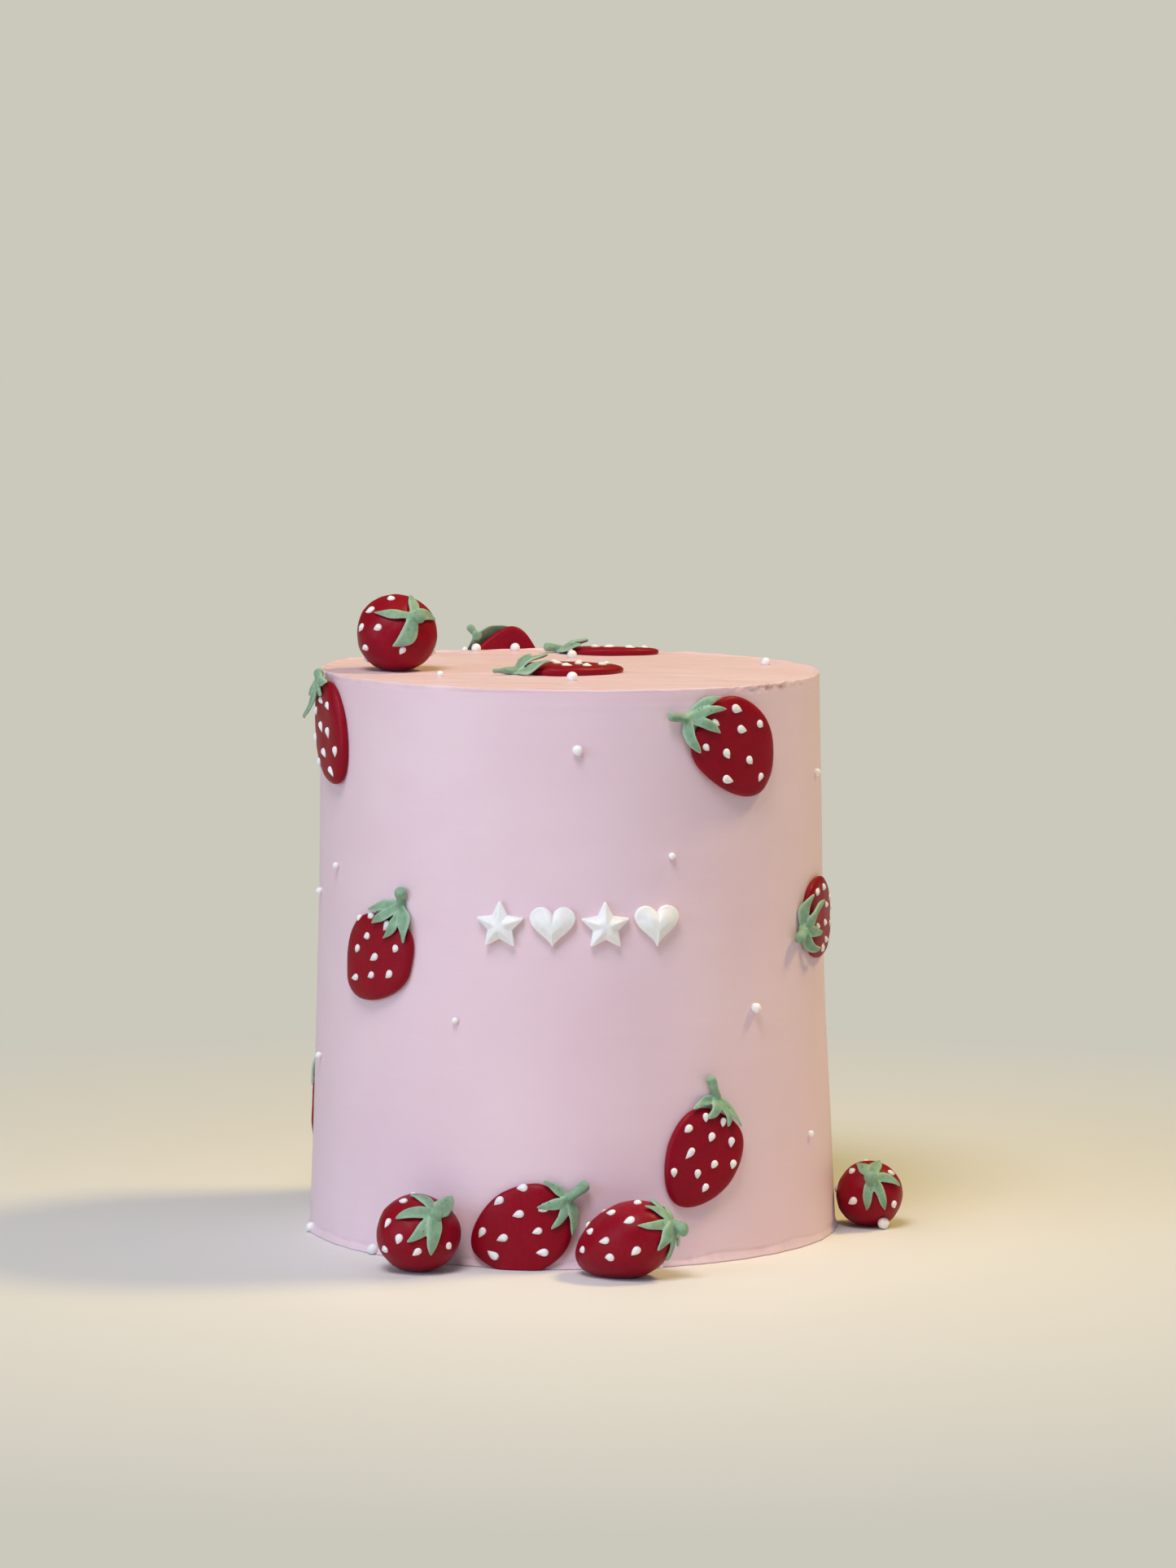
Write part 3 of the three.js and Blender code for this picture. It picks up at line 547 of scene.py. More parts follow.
def side_relief(angle, ring, z, torn, nicks):
    """How far the side stands out: the scraper's marks, the foot and what is torn below the rim."""
    off = relief(np.column_stack([ring, z]), SCRAPER_MARKS)
    off *= smoothstep(z, 1.5, 12) * (1 - 0.6 * smoothstep(z, 150, CAKE_HEIGHT))
    # Wavy foot with a fine groove just above where it stands
    off += (1 - smoothstep(z, 0.4, 3.4)) * relief(ring, FOOT_WAVES)
    groove = GROOVE_HEIGHT + relief(ring, GROOVE_WAVES)
    off -= GROOVE_DEPTH * np.exp(-((z - groove) / 0.45) ** 2)
    beside = (np.degrees(angle) - SMEAR_BEARING) / 5
    off += SMEAR_HEIGHT * np.exp(-beside ** 2 - (z / 6.5) ** 2)
    # The rim is crisp at the front and torn on the right
    below = smoothstep(z, CAKE_HEIGHT - 1.3, CAKE_HEIGHT - 0.3)
    off += torn * below * TEAR_DEPTH * nicks
    under = np.exp(-((z - CAKE_HEIGHT + 1.5) / 0.5) ** 2)
    return off - torn * under * TEAR_DEPTH * np.maximum(0, relief(ring, RIM_PITS))


def top_relief(x, y):
    """Long shallow strokes of the spatula across the top, and the ridge of its last one."""
    from_x, from_y = x - SWING_X, y - SWING_Y
    sweep = np.hypot(from_x, from_y)
    bearing = np.arctan2(from_x, from_y) * abs(SWING_Y)
    across = np.stack([x, y], -1)
    patchy = 0.6 + relief(across, TOP_PATCHES)
    lift = patchy * relief(np.stack([sweep, bearing], -1), TOP_STROKES) + relief(across, TOP_DENTS)
    ridge = sweep - RIDGE_REACH - 1.2 * np.sin(bearing / 15)
    fade = np.exp(-((bearing - RIDGE_MIDDLE) / 26) ** 2)
    return lift + fade * RIDGE_HEIGHT * np.exp(-np.abs(ridge) / 1.8) * (ridge > 0)


def icing_surface(x, y, z):
    """Adds the marks of the scraper and the spatula to the plain form."""
    radius = np.hypot(x, y)
    angle = np.arctan2(x, -y)
    angle = angle - CROWDING * np.sin(angle - math.radians(TORN_MIDDLE))
    x, y = radius * np.sin(angle), -radius * np.cos(angle)
    ring = np.stack([np.cos(angle), np.sin(angle)], -1) * FOOT_RADIUS
    torn = between(np.degrees(angle), *TORN_SPAN)
    nicks = relief(np.column_stack([ring, z]), RIM_NICKS)
    outside = smoothstep(radius, side_radius(z) - 3, side_radius(z) - 0.5)
    inside = (z > CAKE_HEIGHT - 0.01) * (1 - smoothstep(radius, TOP_RADIUS - 3, TOP_RADIUS - 0.5))
    raised = np.maximum(0, z - CAKE_HEIGHT)
    lift = raised * (-0.25 + relief(ring, LIP_WAVES) + torn * 0.2 * nicks)
    lift += inside * top_relief(x, y)
    off = side_relief(angle, ring, z, torn, nicks)
    share = (radius + off * outside) / np.maximum(radius, 1e-6)
    tall = z + lift + TOP_SLOPE * x * z / CAKE_HEIGHT
    return np.stack([x * share + lean(z), y * share, np.maximum(tall, 0)], -1)


def crumbs(points):
    """Painted shade: a brown band under the torn rim and a few spots beside it, for the shade under the
    overhanging lip.
    """
    x, y, z = points.T
    near = between(np.degrees(np.arctan2(x, -y)), *RIM_SHADE_SPAN)
    line = np.exp(-((z - CAKE_HEIGHT + 1.3) / 0.75) ** 2)
    return near * line * np.clip(0.45 + relief(points, RIM_SHADE_SPOTS), 0, 1)


def pearl(diameter, centre):
    points, faces = unit_ball(*PEARL_GRID)
    return points * diameter / 2 + np.asarray(centre, float), faces


def pressed_in(diameter):
    """How far a pearl's centre lies off the icing."""
    return diameter / 2 * (1 - PEARL_SINK)


def side_pearl(azimuth, height, diameter):
    return pearl(diameter, on_side(azimuth, height, 90)(0, 0, pressed_in(diameter) - GAP))


def all_pearls():
    parts = [side_pearl(*row) for row in SIDE_PEARLS]
    for x, y, diameter in TOP_PEARLS:
        parts.append(pearl(diameter, (x, y, top_height(x) + pressed_in(diameter))))
    parts += [side_pearl(azimuth, diameter / 2, diameter) for azimuth, diameter in FOOT_PEARLS]
    x, y, diameter = LOOSE_PEARL
    return merged(parts + [pearl(diameter, (x, y, diameter / 2))])


def add_cake(finishes):
    body = warped(turned(icing_profile(), CAKE_SIDES), icing_surface)
    # The icing carries where its painted shade under the torn rim lies
    add_piece("cake_icing", body, finishes["icing"], "icing", ["cake"], crumb=crumbs(body[0]))
    add_piece("pearls", all_pearls(), finishes["pearl"], "white_sugar", ["cake", "berry_right_back"])


# Strawberries

def hill(x, y, height, hill_x, hill_y, size):
    return height * np.exp(-((x - hill_x) ** 2 + (y - hill_y) ** 2) / size)


def seed(place, length, width, turn, curl):
    """A piped dab: a round head, its peak pulled over towards a pointed tail at -y."""
    points, faces = unit_ball(*SEED_GRID)
    x, y, z = points.T
    bearing = np.arctan2(x, y)
    back = (1 - np.cos(bearing)) / 2
    size = np.hypot(x, y)
    tail = np.exp((np.abs(bearing) - math.pi) / SEED_POINT)
    pull = max(LEAST_TAIL, length - width) + TAIL_EXTRA
    out = size * width / 2 + pull * size ** TAIL_SPREAD * tail
    along = out * np.cos(bearing) + HEAD_AHEAD * (length - width)
    across = out * np.sin(bearing) + curl * TAIL_CURL * np.minimum(along, 0) ** 2
    dome = z * SEED_HEIGHT * (1 - 0.5 * back ** 2 * size)
    marks = hill(across, along, *SEED_PEAK) + hill(across, along, *SEED_DIMPLE)
    cos, sin = cos_sin(turn)
    return place(across * cos - along * sin, across * sin + along * cos, dome + (z > 0) * marks), faces


def leaf_outline(run):
    """The width along a leaf, as a share of its greatest."""
    return (1 - np.clip(run, 0, 1) ** 3) ** 0.8 * (0.72 + 0.28 * smoothstep(run, 0, 0.4))


def arched(bend, run):
    """How far a leaf lies off its straight line, most of all halfway along."""
    return bend * 4 * run * (1 - run)


def leaf_line(start, tip_x, tip_y):
    """The length of a leaf, and its places at a share of that and a distance aside."""
    line = np.subtract((tip_x, tip_y), start)
    reach = np.linalg.norm(line)
    right = np.array([line[1], -line[0]]) / reach

    def spot(along, aside):
        return [start[i] + line[i] * along + right[i] * aside for i in (0, 1)]
    return reach, spot


def leaf(surface, cover, start, row, width, level, number):
    """A thin pointed leaf, how near each of its points is to the edge, and the dots pressed in."""
    bend, lift, share = list(row[2:]) + [0, 0, 1][len(row) - 2:]
    draw = np.random.default_rng(number)
    beat, wobble, sway, ripple, curl = (draw.uniform(low, high) for low, high in LEAF_DRAWS)
    rings, sides = LEAF_GRID
    profile = [(0, 0)] + [(1, run) for run in np.linspace(0.02, 0.985, rings)] + [(0, 1)]
    points, faces = turned(profile, sides)
    angle = np.arctan2(points[:, 1], points[:, 0])
    size = np.hypot(points[:, 0], points[:, 1])
    run = points[:, 2]
    across = np.cos(angle)
    reach, spot = leaf_line(start, *row[:2])
    begin = LEAF_START / reach
    outline, up = leaf_outline(run), np.sin(angle)
    half = outline * width * share / 2 * (1 + LEAF_WOBBLE * np.sin(run * beat + wobble)) * size
    aside = arched(bend, run) + LEAF_SWAY * np.sin(run * TAU + sway) * run
    x, y = spot(begin + (1 - begin) * run, aside + across * half)
    thick = LEAF_THICKNESS * math.sqrt(share) / 2 * (0.5 + 0.5 * np.sqrt(outline)) * size
    height = cover(x, y) + thick + np.sign(up) * np.abs(up) ** 0.8 * thick
    height += lift * run * run + LEAF_RIPPLE * np.sin(9 * run + ripple) * across * size
    height += LEAF_CURL * curl * run ** 4 + level * (1 - run)
    near_edge = np.maximum(np.abs(across), smoothstep(run, 0.86, 1.0)) * size
    dots = []
    for mark in draw.uniform(0.1, 0.65, draw.integers(0, 3)):
        a, b = spot(mark, arched(bend, mark) + draw.uniform(-0.3, 0.3) * width)
        dots.append(surface(a, b, float(cover(a, b)) + LEAF_THICKNESS + lift * mark * mark))
    return (surface(x, y, height), faces), near_edge, dots


def stem(surface, base, end, neck, knob):
    """A rolled stem from the collar to its rounded end."""
    run = np.subtract(end, base)
    length = np.linalg.norm(run)
    axis = run / length
    across = unit(np.cross(axis, (0, 0, 1)))
    upwards = np.cross(across, axis)
    rings, sides = STEM_GRID
    shares = np.linspace(0, 1, rings)
    swell = neck + (knob - neck) * smoothstep(shares, 0.35, 0.85)
    profile = [(0, -STEM_SINK)] + [(r, s * length) for r, s in zip(swell, shares)]
    for angle in np.linspace(0.2, math.pi / 2, 7)[:-1]:
        profile.append((knob * math.cos(angle), length + knob * KNOB_LENGTH * math.sin(angle)))
    profile.append((0, length + knob * KNOB_LENGTH))
    points, faces = turned(profile, sides)
    uneven = (1 + 0.05 * waves(points, (3, 3, 4), int(knob * 100) + 7, 6))[:, None]
    x, y, z = points[:, :1] * uneven, points[:, 1:2] * uneven, points[:, 2:]
    return surface(*(base + x * across + y * upwards + z * axis).T), faces


def calyx_parts(surface, cover, berry, width, number):
    """Leaves, collar and stem, how near each of their points is to a leaf's edge, and the dots."""
    x, y = berry["at"]
    base = float(cover(x, y))
    parts, nearness, dots = [], [], []
    for index, row in enumerate(berry["leaves"]):
        level, draws = LEAF_STEP * (index % 2), LEAF_DRAW_STEP * number + index
        part, near, found = leaf(surface, cover, (x, y), row, width, level, draws)
        parts.append(part)
        nearness.append(near)
        dots += found
    collar = warped(turned(COLLAR_PROFILE, COLLAR_SIDES), lambda u, v, w: surface(
        x + u * COLLAR_RADIUS, y + v * COLLAR_RADIUS, base - COLLAR_SINK + w * COLLAR_HEIGHT))
    neck = berry["neck"]
    pin = stem(surface, (x, y, base + neck * 0.9), berry["stem"], neck, berry["knob"])
    plain = np.zeros(len(collar[0]) + len(pin[0]))
    return parts + [collar, pin], np.concatenate([*nearness, plain]), dots


def from_closest(values, spots, points):
    """For each point the value of the closest spot."""
    tree = kdtree.KDTree(len(spots))
    for index, spot in enumerate(spots):
        tree.insert(spot, index)
    tree.balance()
    return np.array([values[tree.find(point)[1]] for point in points])


def dotted(points, dots):
    """How deep each point lies in a dot, from 0 to 1."""
    share = np.zeros(len(points))
    for dot in dots:
        away = np.linalg.norm(points - dot, axis=1)
        share = np.maximum(share, np.exp(-(away / DOT_SIZE) ** 2))
    return share


def add_calyx(name, surface, cover, berry, width, finish, number, move=None):
    parts, nearness, dots = calyx_parts(surface, cover, berry, width, number)
    points, faces, normals = fused(parts)
    edge = from_closest(nearness, np.concatenate([part[0] for part in parts]), points)
    dot = dotted(points, dots)
    points = points - normals * (DOT_DEPTH * dot)[:, None]
    if move:
        points = move(points)
    add_piece(f"leaves_{name}", (points, faces), finish, "green_fondant", [f"calyx_{name}"],
              edge=edge, dot=dot)


# Flat berries

# Places on the edge and on the face, as shares of the way out; those on the edge have a height
EDGE_PLACES = [(0, -PRESSED), (0.5, -PRESSED), (0.88, -PRESSED), (0.965, -PRESSED), (0.985, -0.1),
               (0.997, 0.35)]
FACE_PLACES = [1, 0.997, 0.99, 0.98, 0.965, 0.945, 0.92, 0.89, 0.85, 0.8, 0.72, 0.62, 0.5, 0.38,
               0.26, 0.14]

# Uneven by hand: rows like the icing's, for outlines, faces and balls
HAND_WAVES = [(0.008, 18, 40)]
FACE_DENTS = [(0.07, 9, 50)]
BALL_DENTS = [(0.14, 13, 60), (0.05, 4.5, 70)]


def flat_face(share):
    """The face's height at a share of the way out."""
    fall = np.sqrt(np.maximum(0, 1 - np.clip(share, 0, 1) ** FACE_POWER))
    return FLAT_EDGE + (FLAT_THICKNESS - FLAT_EDGE) * fall


def flat_share(berry, x, y):
    """How far out a place is, from 0 in the middle to 1 at the outline."""
    middle = berry["middle"]
    q = (y - middle[1]) / berry["size"][1]
    p = (x - middle[0] - leaning(berry, q)) / (berry["size"][0] * (1 + berry["taper"] * q))
    return corner_share(berry, p, q)


def leaning(berry, q):
    """How far the tip and the calyx's end lean across."""
    tip, head = berry["skew"]
    return tip * np.maximum(0, -q) ** 2 + head * np.maximum(0, q) ** 2


def corner_share(berry, p, q):
    """The share of the way out in a rounded square, squarer at the calyx's end."""
    ahead = np.maximum(0, q) / np.maximum(np.hypot(p, q), 1e-9)
    power = berry["square"] + SHOULDER * ahead
    return (np.abs(p) ** power + np.abs(q) ** power) ** (1 / power)


def flat_spot(berry, p, q):
    """The place at shares p and q of the way out, on the berry's rounded outline."""
    middle = berry["middle"]
    corner = corner_share(berry, p, q)
    stretch = np.where(corner > 0, np.hypot(p, q) / np.maximum(corner, 1e-9), 1)
    p, q = p * stretch, q * stretch
    x = middle[0] + leaning(berry, q) + p * berry["size"][0] * (1 + berry["taper"] * q)
    return x, middle[1] + q * berry["size"][1]


def thinning(berry, x, y):
    """A berry's thickness at a place, as a share of the usual one."""
    thin_x, thin_y = berry["thins"]
    return berry["thick"] * (1 - thin_x * x / berry["size"][0] + thin_y * y / berry["size"][1])


def flat_cover(berry, x, y):
    fall = smoothstep(flat_share(berry, x, y), 0.95, 1.3)
    return (FLAT_THICKNESS * thinning(berry, x, y) + GAP) * (1 - fall) - GAP


def flat_body(berry, start):
    face = [(share, float(flat_face(share))) for share in FACE_PLACES]
    profile = EDGE_PLACES + face + [(0, FLAT_THICKNESS)]

    def place(p, q, n):
        angle = np.arctan2(p, q)
        ring = np.stack([np.cos(angle), np.sin(angle)], -1) * 10
        hand = 1 + relief(ring, HAND_WAVES, start) * smoothstep(np.hypot(p, q), 0.2, 0.9)
        x, y = flat_spot(berry, p * hand, q * hand)
        uneven = relief(np.stack([x, y], -1), FACE_DENTS, start) * (n > 1.2)
        return berry["surface"](x, y, n * thinning(berry, x, y) + uneven)
    return warped(turned(profile, FLAT_SIDES), place)


def seed_rows(berry, start):
    """Staggered rows of seeds, in the places of the part's source."""
    half_width, half_length = berry["size"]
    places = []
    for row in range(SEED_ROWS):
        for column in range(-2, 3):
            x = half_width * COLUMN_STEP * (column + (row % 2) / 2)
            y = half_length * (FIRST_ROW + ROW_STEP * row)
            x += SEED_STRAY * math.sin(5 * row + 3 * column + start)
            y += SEED_STRAY * math.sin(3 * row + 7 * column + 2 * start)
            if flat_share(berry, x, y) < SEED_REACH and clear(berry, x, y):
                places.append((x, y))
    return places


def clear(berry, x, y):
    """True where a drawn seed stays clear of every leaf."""
    runs = np.linspace(0, 1, 9)
    clearance = CLEAR_OF_LEAF * (1 - runs ** 3) + CLEAR_OF_TIP
    for tip_x, tip_y, bend, *_ in berry["leaves"]:
        _, spot = leaf_line(berry["at"], tip_x, tip_y)
        leaf_x, leaf_y = spot(runs, arched(bend, runs))
        if (np.hypot(leaf_x - x, leaf_y - y) < clearance).any():
            return False
    return True


def seed_sizes(row, draw):
    """Length, width, turn in degrees and curl of a seed; what a row leaves out is drawn."""
    length, width, turn = (list(row[2:]) + [None] * 3)[:3]
    length = length or SEED_LENGTH * draw.uniform(0.85, 1.2)
    width = width or SEED_WIDTH * draw.uniform(0.85, 1.1)
    turn = draw.uniform(-35, 35) if turn is None else turn
    return length, width * SEED_SPREAD, turn, draw.uniform(-0.8, 0.8)


def seeds_on(rows, seat, number):
    """A seed for each row; seat gives the places round the row's own place."""
    draw = np.random.default_rng(number)
    return [seed(seat(*row[:2]), *seed_sizes(row, draw)) for row in rows]


def flat_seat(berry, x, y):
    base = float(flat_face(flat_share(berry, x, y))) * thinning(berry, x, y) - SEED_SINK
    return lambda u, v, w: berry["surface"](x + u, y + v, base + w)


# Sizes are half width and half length; y points to the calyx, and at is its middle. Seeds are x, y,
# length, width and the tail's turn from the berry's tip. Leaves are the tip's x and y, a bend, a
# lift and a share of the usual width. A stem is its end's x, y and height.
FLAT_BERRIES = {
    "upper_right": dict(
        surface=on_side(39.7, 148.8, 145), size=[13.2, 15.5], middle=(0.65, -0.4), taper=0.07, square=2.07,
        skew=(-2.1, -1), at=[-2.2, 19.4], stem=[-4.6, 24.4, 1.7], neck=1, knob=1.3,
        seeds=[[8.6, 8.1, 3.8, 2.3, 22], [9.7, -2, 2.6, 2.1, -2], [4.6, 3.2, 3.5, 2.2, 10],
               [1.4, 12, 3, 1.9, 5], [-6, 10.6, 2.3, 1.8, -7], [-3.8, 3.8, 3.2, 2.2, -17],
               [-1.1, -4.4, 2.8, 2.1, -10], [-2.8, -10.9, 2.7, 1.7, -80], [-9.9, -0.8, 3.9, 2.1, 8]],
        leaves=[[8.8, 14.6, -1, 0, 0.8], [6.7, 11.5, -0.9, 0, 0.86], [-0.6, 9.2, -1], [-8.8, 11.4, 1.2]],
    ),
    "mid_left": dict(
        surface=on_side(-47.1, 87, 76), size=[13.4, 13.6], middle=(-0.7, -0.7), taper=0.07, square=1.95,
        skew=(-4.9, 2.6), at=[4.6, 17.8], stem=[4.7, 21.9, 1.9], knob=1.8,
        seeds=[[-5.1, 11.3, 3, 2.2, -40], [2.3, 10.9, 3.8, 1.9, -17], [-10.2, 8.6, 2.4, 1.8, 0],
               [-4.4, 5.3, 2.7, 1.9, -60], [-7.6, 0.4, 2.7, 1.8, -27], [7.5, 5.6, 2.6, 2, -20],
               [0.2, 0.4, 3.6, 1.9, -51], [7.1, -2.4, 3.1, 2, -39], [0.3, -5.1, 2.8, 1.8, -50],
               [-6.3, -8.2, 3.4, 1.7, -56]],
        leaves=[[-6.6, 13, 0.3, 0, 1.05], [-2.6, 9.8, 0, 0, 1.05], [2.5, 7.1, -1.9], [10.5, 8.2, -0.9]],
    ),
    "lower_right": dict(
        surface=on_side(28.6, 30.7, 60), size=[11.8, 14.9], middle=(0.2, -0.4), taper=0.17, square=1.9,
        skew=(-0.9, 0), at=[-4.1, 17.8], stem=[-9, 21.2, 1.9], neck=1.2, knob=1.4,
        seeds=[[-5.6, 10.9, 2.8, 1.7, 30], [0.3, 12.1, 3, 1.7, 10], [-8.9, 5.6, 2.7, 2, -16],
               [-1.3, 6.7, 2.8, 2, 7], [5.4, 8.3, 2.9, 1.9, 15], [-5.1, -0.3, 4.2, 1.6, -4],
               [9, 2.9, 2.4, 2.1, 20], [3.3, 0.1, 2.5, 1.9, -13], [-6.9, -7.4, 2.6, 1.7, 28],
               [-0.3, -4.6, 2.7, 1.8, 21], [3.8, -7.1, 2.7, 1.8, -11]],
        leaves=[[-10.7, 11.2, 0.4, 0, 0.74], [-4.9, 10.6, -0.4, 0, 1.05], [1.9, 11.4, -1.4],
                [6.3, 13.4, -1, 0, 0.74]],
    ),
    "front_foot": dict(
        surface=on_side(-11.1, 11.4, 25), size=[12.3, 15], middle=(0.6, -0.3), taper=0.11, square=1.82,
        skew=(-0.7, -0.9), at=[-2.7, 16.7], stem=[-4, 22.6, 1.9], neck=1.35, knob=1.6,
        seeds=[[-10.6, 6.3, 3.1, 2.1, -15], [-10, -1.4, 3.3, 1.9, 8], [-3.1, 9.5, 3.2, 2.3, 10],
               [-4.3, 2.3, 3.3, 2, -14], [-3.7, -9.7, 3.2, 1.8, 34], [2.3, 5.1, 3, 1.8, -2],
               [0.2, -4.8, 3.3, 2, -11], [8.5, 3.9, 3.4, 2, -29], [3.8, -9.5, 3.8, 2, -51]],
        leaves=[[-10.3, 12.2, 0.5, 0, 0.74], [-4.3, 7.7, -0.6, 0, 0.95], [3.4, 8.8, -0.8, 0, 0.84],
                [7.4, 13.2, -1.2, 0, 0.86]],
    ),
    "upper_left": dict(
        surface=on_side(-70.4, 149.6, 110), size=[11.7, 15.6], middle=(1.1, 0.1), taper=0.08, square=1.9,
        skew=(1.9, -1.4), at=[1.5, 17], stem=[0, 18.7, 1.9],
        seeds=[[2.1, 9.9, 2.6, 1.7, 46], [7.2, 6.9, 2.9, 2, 20], [-0.5, 2.8, 3.4, 2, 10],
               [4.6, -0.3, 3.2, 2, -10], [7.7, -6.9, 3.2, 2, -20], [-0.6, -5.2, 3.4, 2, 30],
               [2.9, -11.6, 3.4, 2, 30], [-4.3, 8.7], [-8.5, 1.5], [-6.5, -6.5]],
        leaves=[[-11.4, 8.1, -1.5, 2.6], [-6, 13.4, 0, 0.8], [4, 10.6, 0.4], [9, 13.8, 0.6]],
    ),
    "mid_right": dict(
        surface=on_side(74.8, 95.2, 186), size=[11.8, 13.8], thick=0.8, at=[-0.5, 16.2],
        stem=[-1.8, 21.2, 2.2], neck=1.4, knob=1.6,
        seeds=[[8.8, 6], [8.8, -0.6], [3.2, -2.3], [-1.7, 0.2], [-1.2, 7.7], [-6.8, 0.3], [-8.4, 4.3],
               [4, -8.8], [-3.8, -7.6], [0.2, -12.4]],
        leaves=[[9.5, 11, -1.8, 0.4, 0.95], [6.5, 5, -0.9, 1.2, 0.9], [-3.1, 5.6, 0.3, 0, 1],
                [-7.4, 8.3, 2.6]],
    ),
    "left_low": dict(
        surface=on_side(-107.8, 32.4, 96), size=[12, 14.4], skew=(0.8, 0), at=[0.5, 17.2],
        stem=[-0.6, 22.8, 1.9],
        leaves=[[-8.8, 11, 0.8], [-3.4, 8.2, 0.4], [3.6, 8.4, -0.4], [7.4, 5.6, -0.8, 0, 1.3]],
    ),
    "back_rim": dict(
        surface=on_side(-164.9, 158.8, 52), size=[11.9, 13.8], middle=(0, -0.8), taper=0.22, square=2.75,
        at=[-0.2, 15.9], stem=[-0.4, 18.9, 2], neck=1, knob=1.15,
        leaves=[[-11.1, 9.8, 0.4, 0, 1.1], [-4, 6.9, 0.4], [3.4, 7.1, -0.4], [8.8, 10.7, 0.6, 0.4]],
    ),
    "back_upper": dict(
        surface=on_side(117, 139, 62), size=[12.6, 14.8], skew=(-1.2, 0), at=[-1.5, 17.6],
        stem=[-4.6, 22.8, 1.9],
        leaves=[[-9.6, 11.4, -0.8], [-4.2, 8, 0.5], [3.2, 8.2, -0.4], [8.8, 11.8, 0.8]],
    ),
    "back_middle": dict(
        surface=on_side(150, 78, 116), size=[12.2, 14.8], skew=(1, 0), at=[2, 17.4], stem=[4.8, 22.6, 1.9],
        leaves=[[-8.4, 11.8, 0.8], [-2.6, 7.8, 0.5], [3.8, 8, -0.5], [9.8, 10.8, -0.9]],
    ),
    "back_left": dict(
        surface=on_side(-130, 108, 70), size=[12.4, 15], skew=(-0.6, 0), at=[0, 17.8],
        stem=[-2.6, 23.4, 1.9],
        leaves=[[-9.2, 11.6, 0.9], [-3.4, 8.2, -0.4], [3.4, 8.4, 0.5], [9, 12, -0.8]],
    ),
    "back_low": dict(
        surface=on_side(-165, 44, 132), size=[12.1, 14.5], skew=(-1.6, 0), at=[-1, 17.2],
        stem=[1.8, 22.6, 1.9],
        leaves=[[-9.4, 10.8, 0.8], [-4, 7.6, 0.4], [3, 8, -0.4], [8.8, 11.2, -0.8]],
    ),
    "top_front": dict(
        surface=on_top(-0.3, -11.5, 206), size=[11, 15.2], middle=(0, -0.8), thins=(0, 0.22), at=[0, 18.4],
        stem=[0.8, 25.2, 1], neck=1.2, knob=0.65,
        seeds=[[-7, 5.5], [0, 5], [6, 3], [-7.5, -1], [-1, -1.5], [5.5, -5], [-3.5, -8], [1.5, -12]],
        leaves=[[-7.2, 10.6, 2.4, 0.2, 1.1], [-1.6, 8.6, -0.6, 1.9, 1.25], [4.4, 11.6, -0.6, 1.4, 1.3],
                [8.4, 14, 1.4, 0.4, 1.1]],
    ),
    "top_back": dict(
        surface=on_top(12.4, 61.6, 180), size=[10.2, 13.4], thick=0.66, thins=(0.4, 0.1), at=[0.4, 16.4],
        stem=[-0.6, 20.6, 1.6], neck=1.25, knob=1.3,
        leaves=[[-8.6, 9.8, 0.8, 0.2, 1.2], [-3, 7.8, 0.4, 1.5, 1.4], [3.2, 7.6, -0.4, 1.2, 1.3],
                [8.6, 9.8, -0.8, 0.6, 1.1]],
    ),
}

# Ball berries

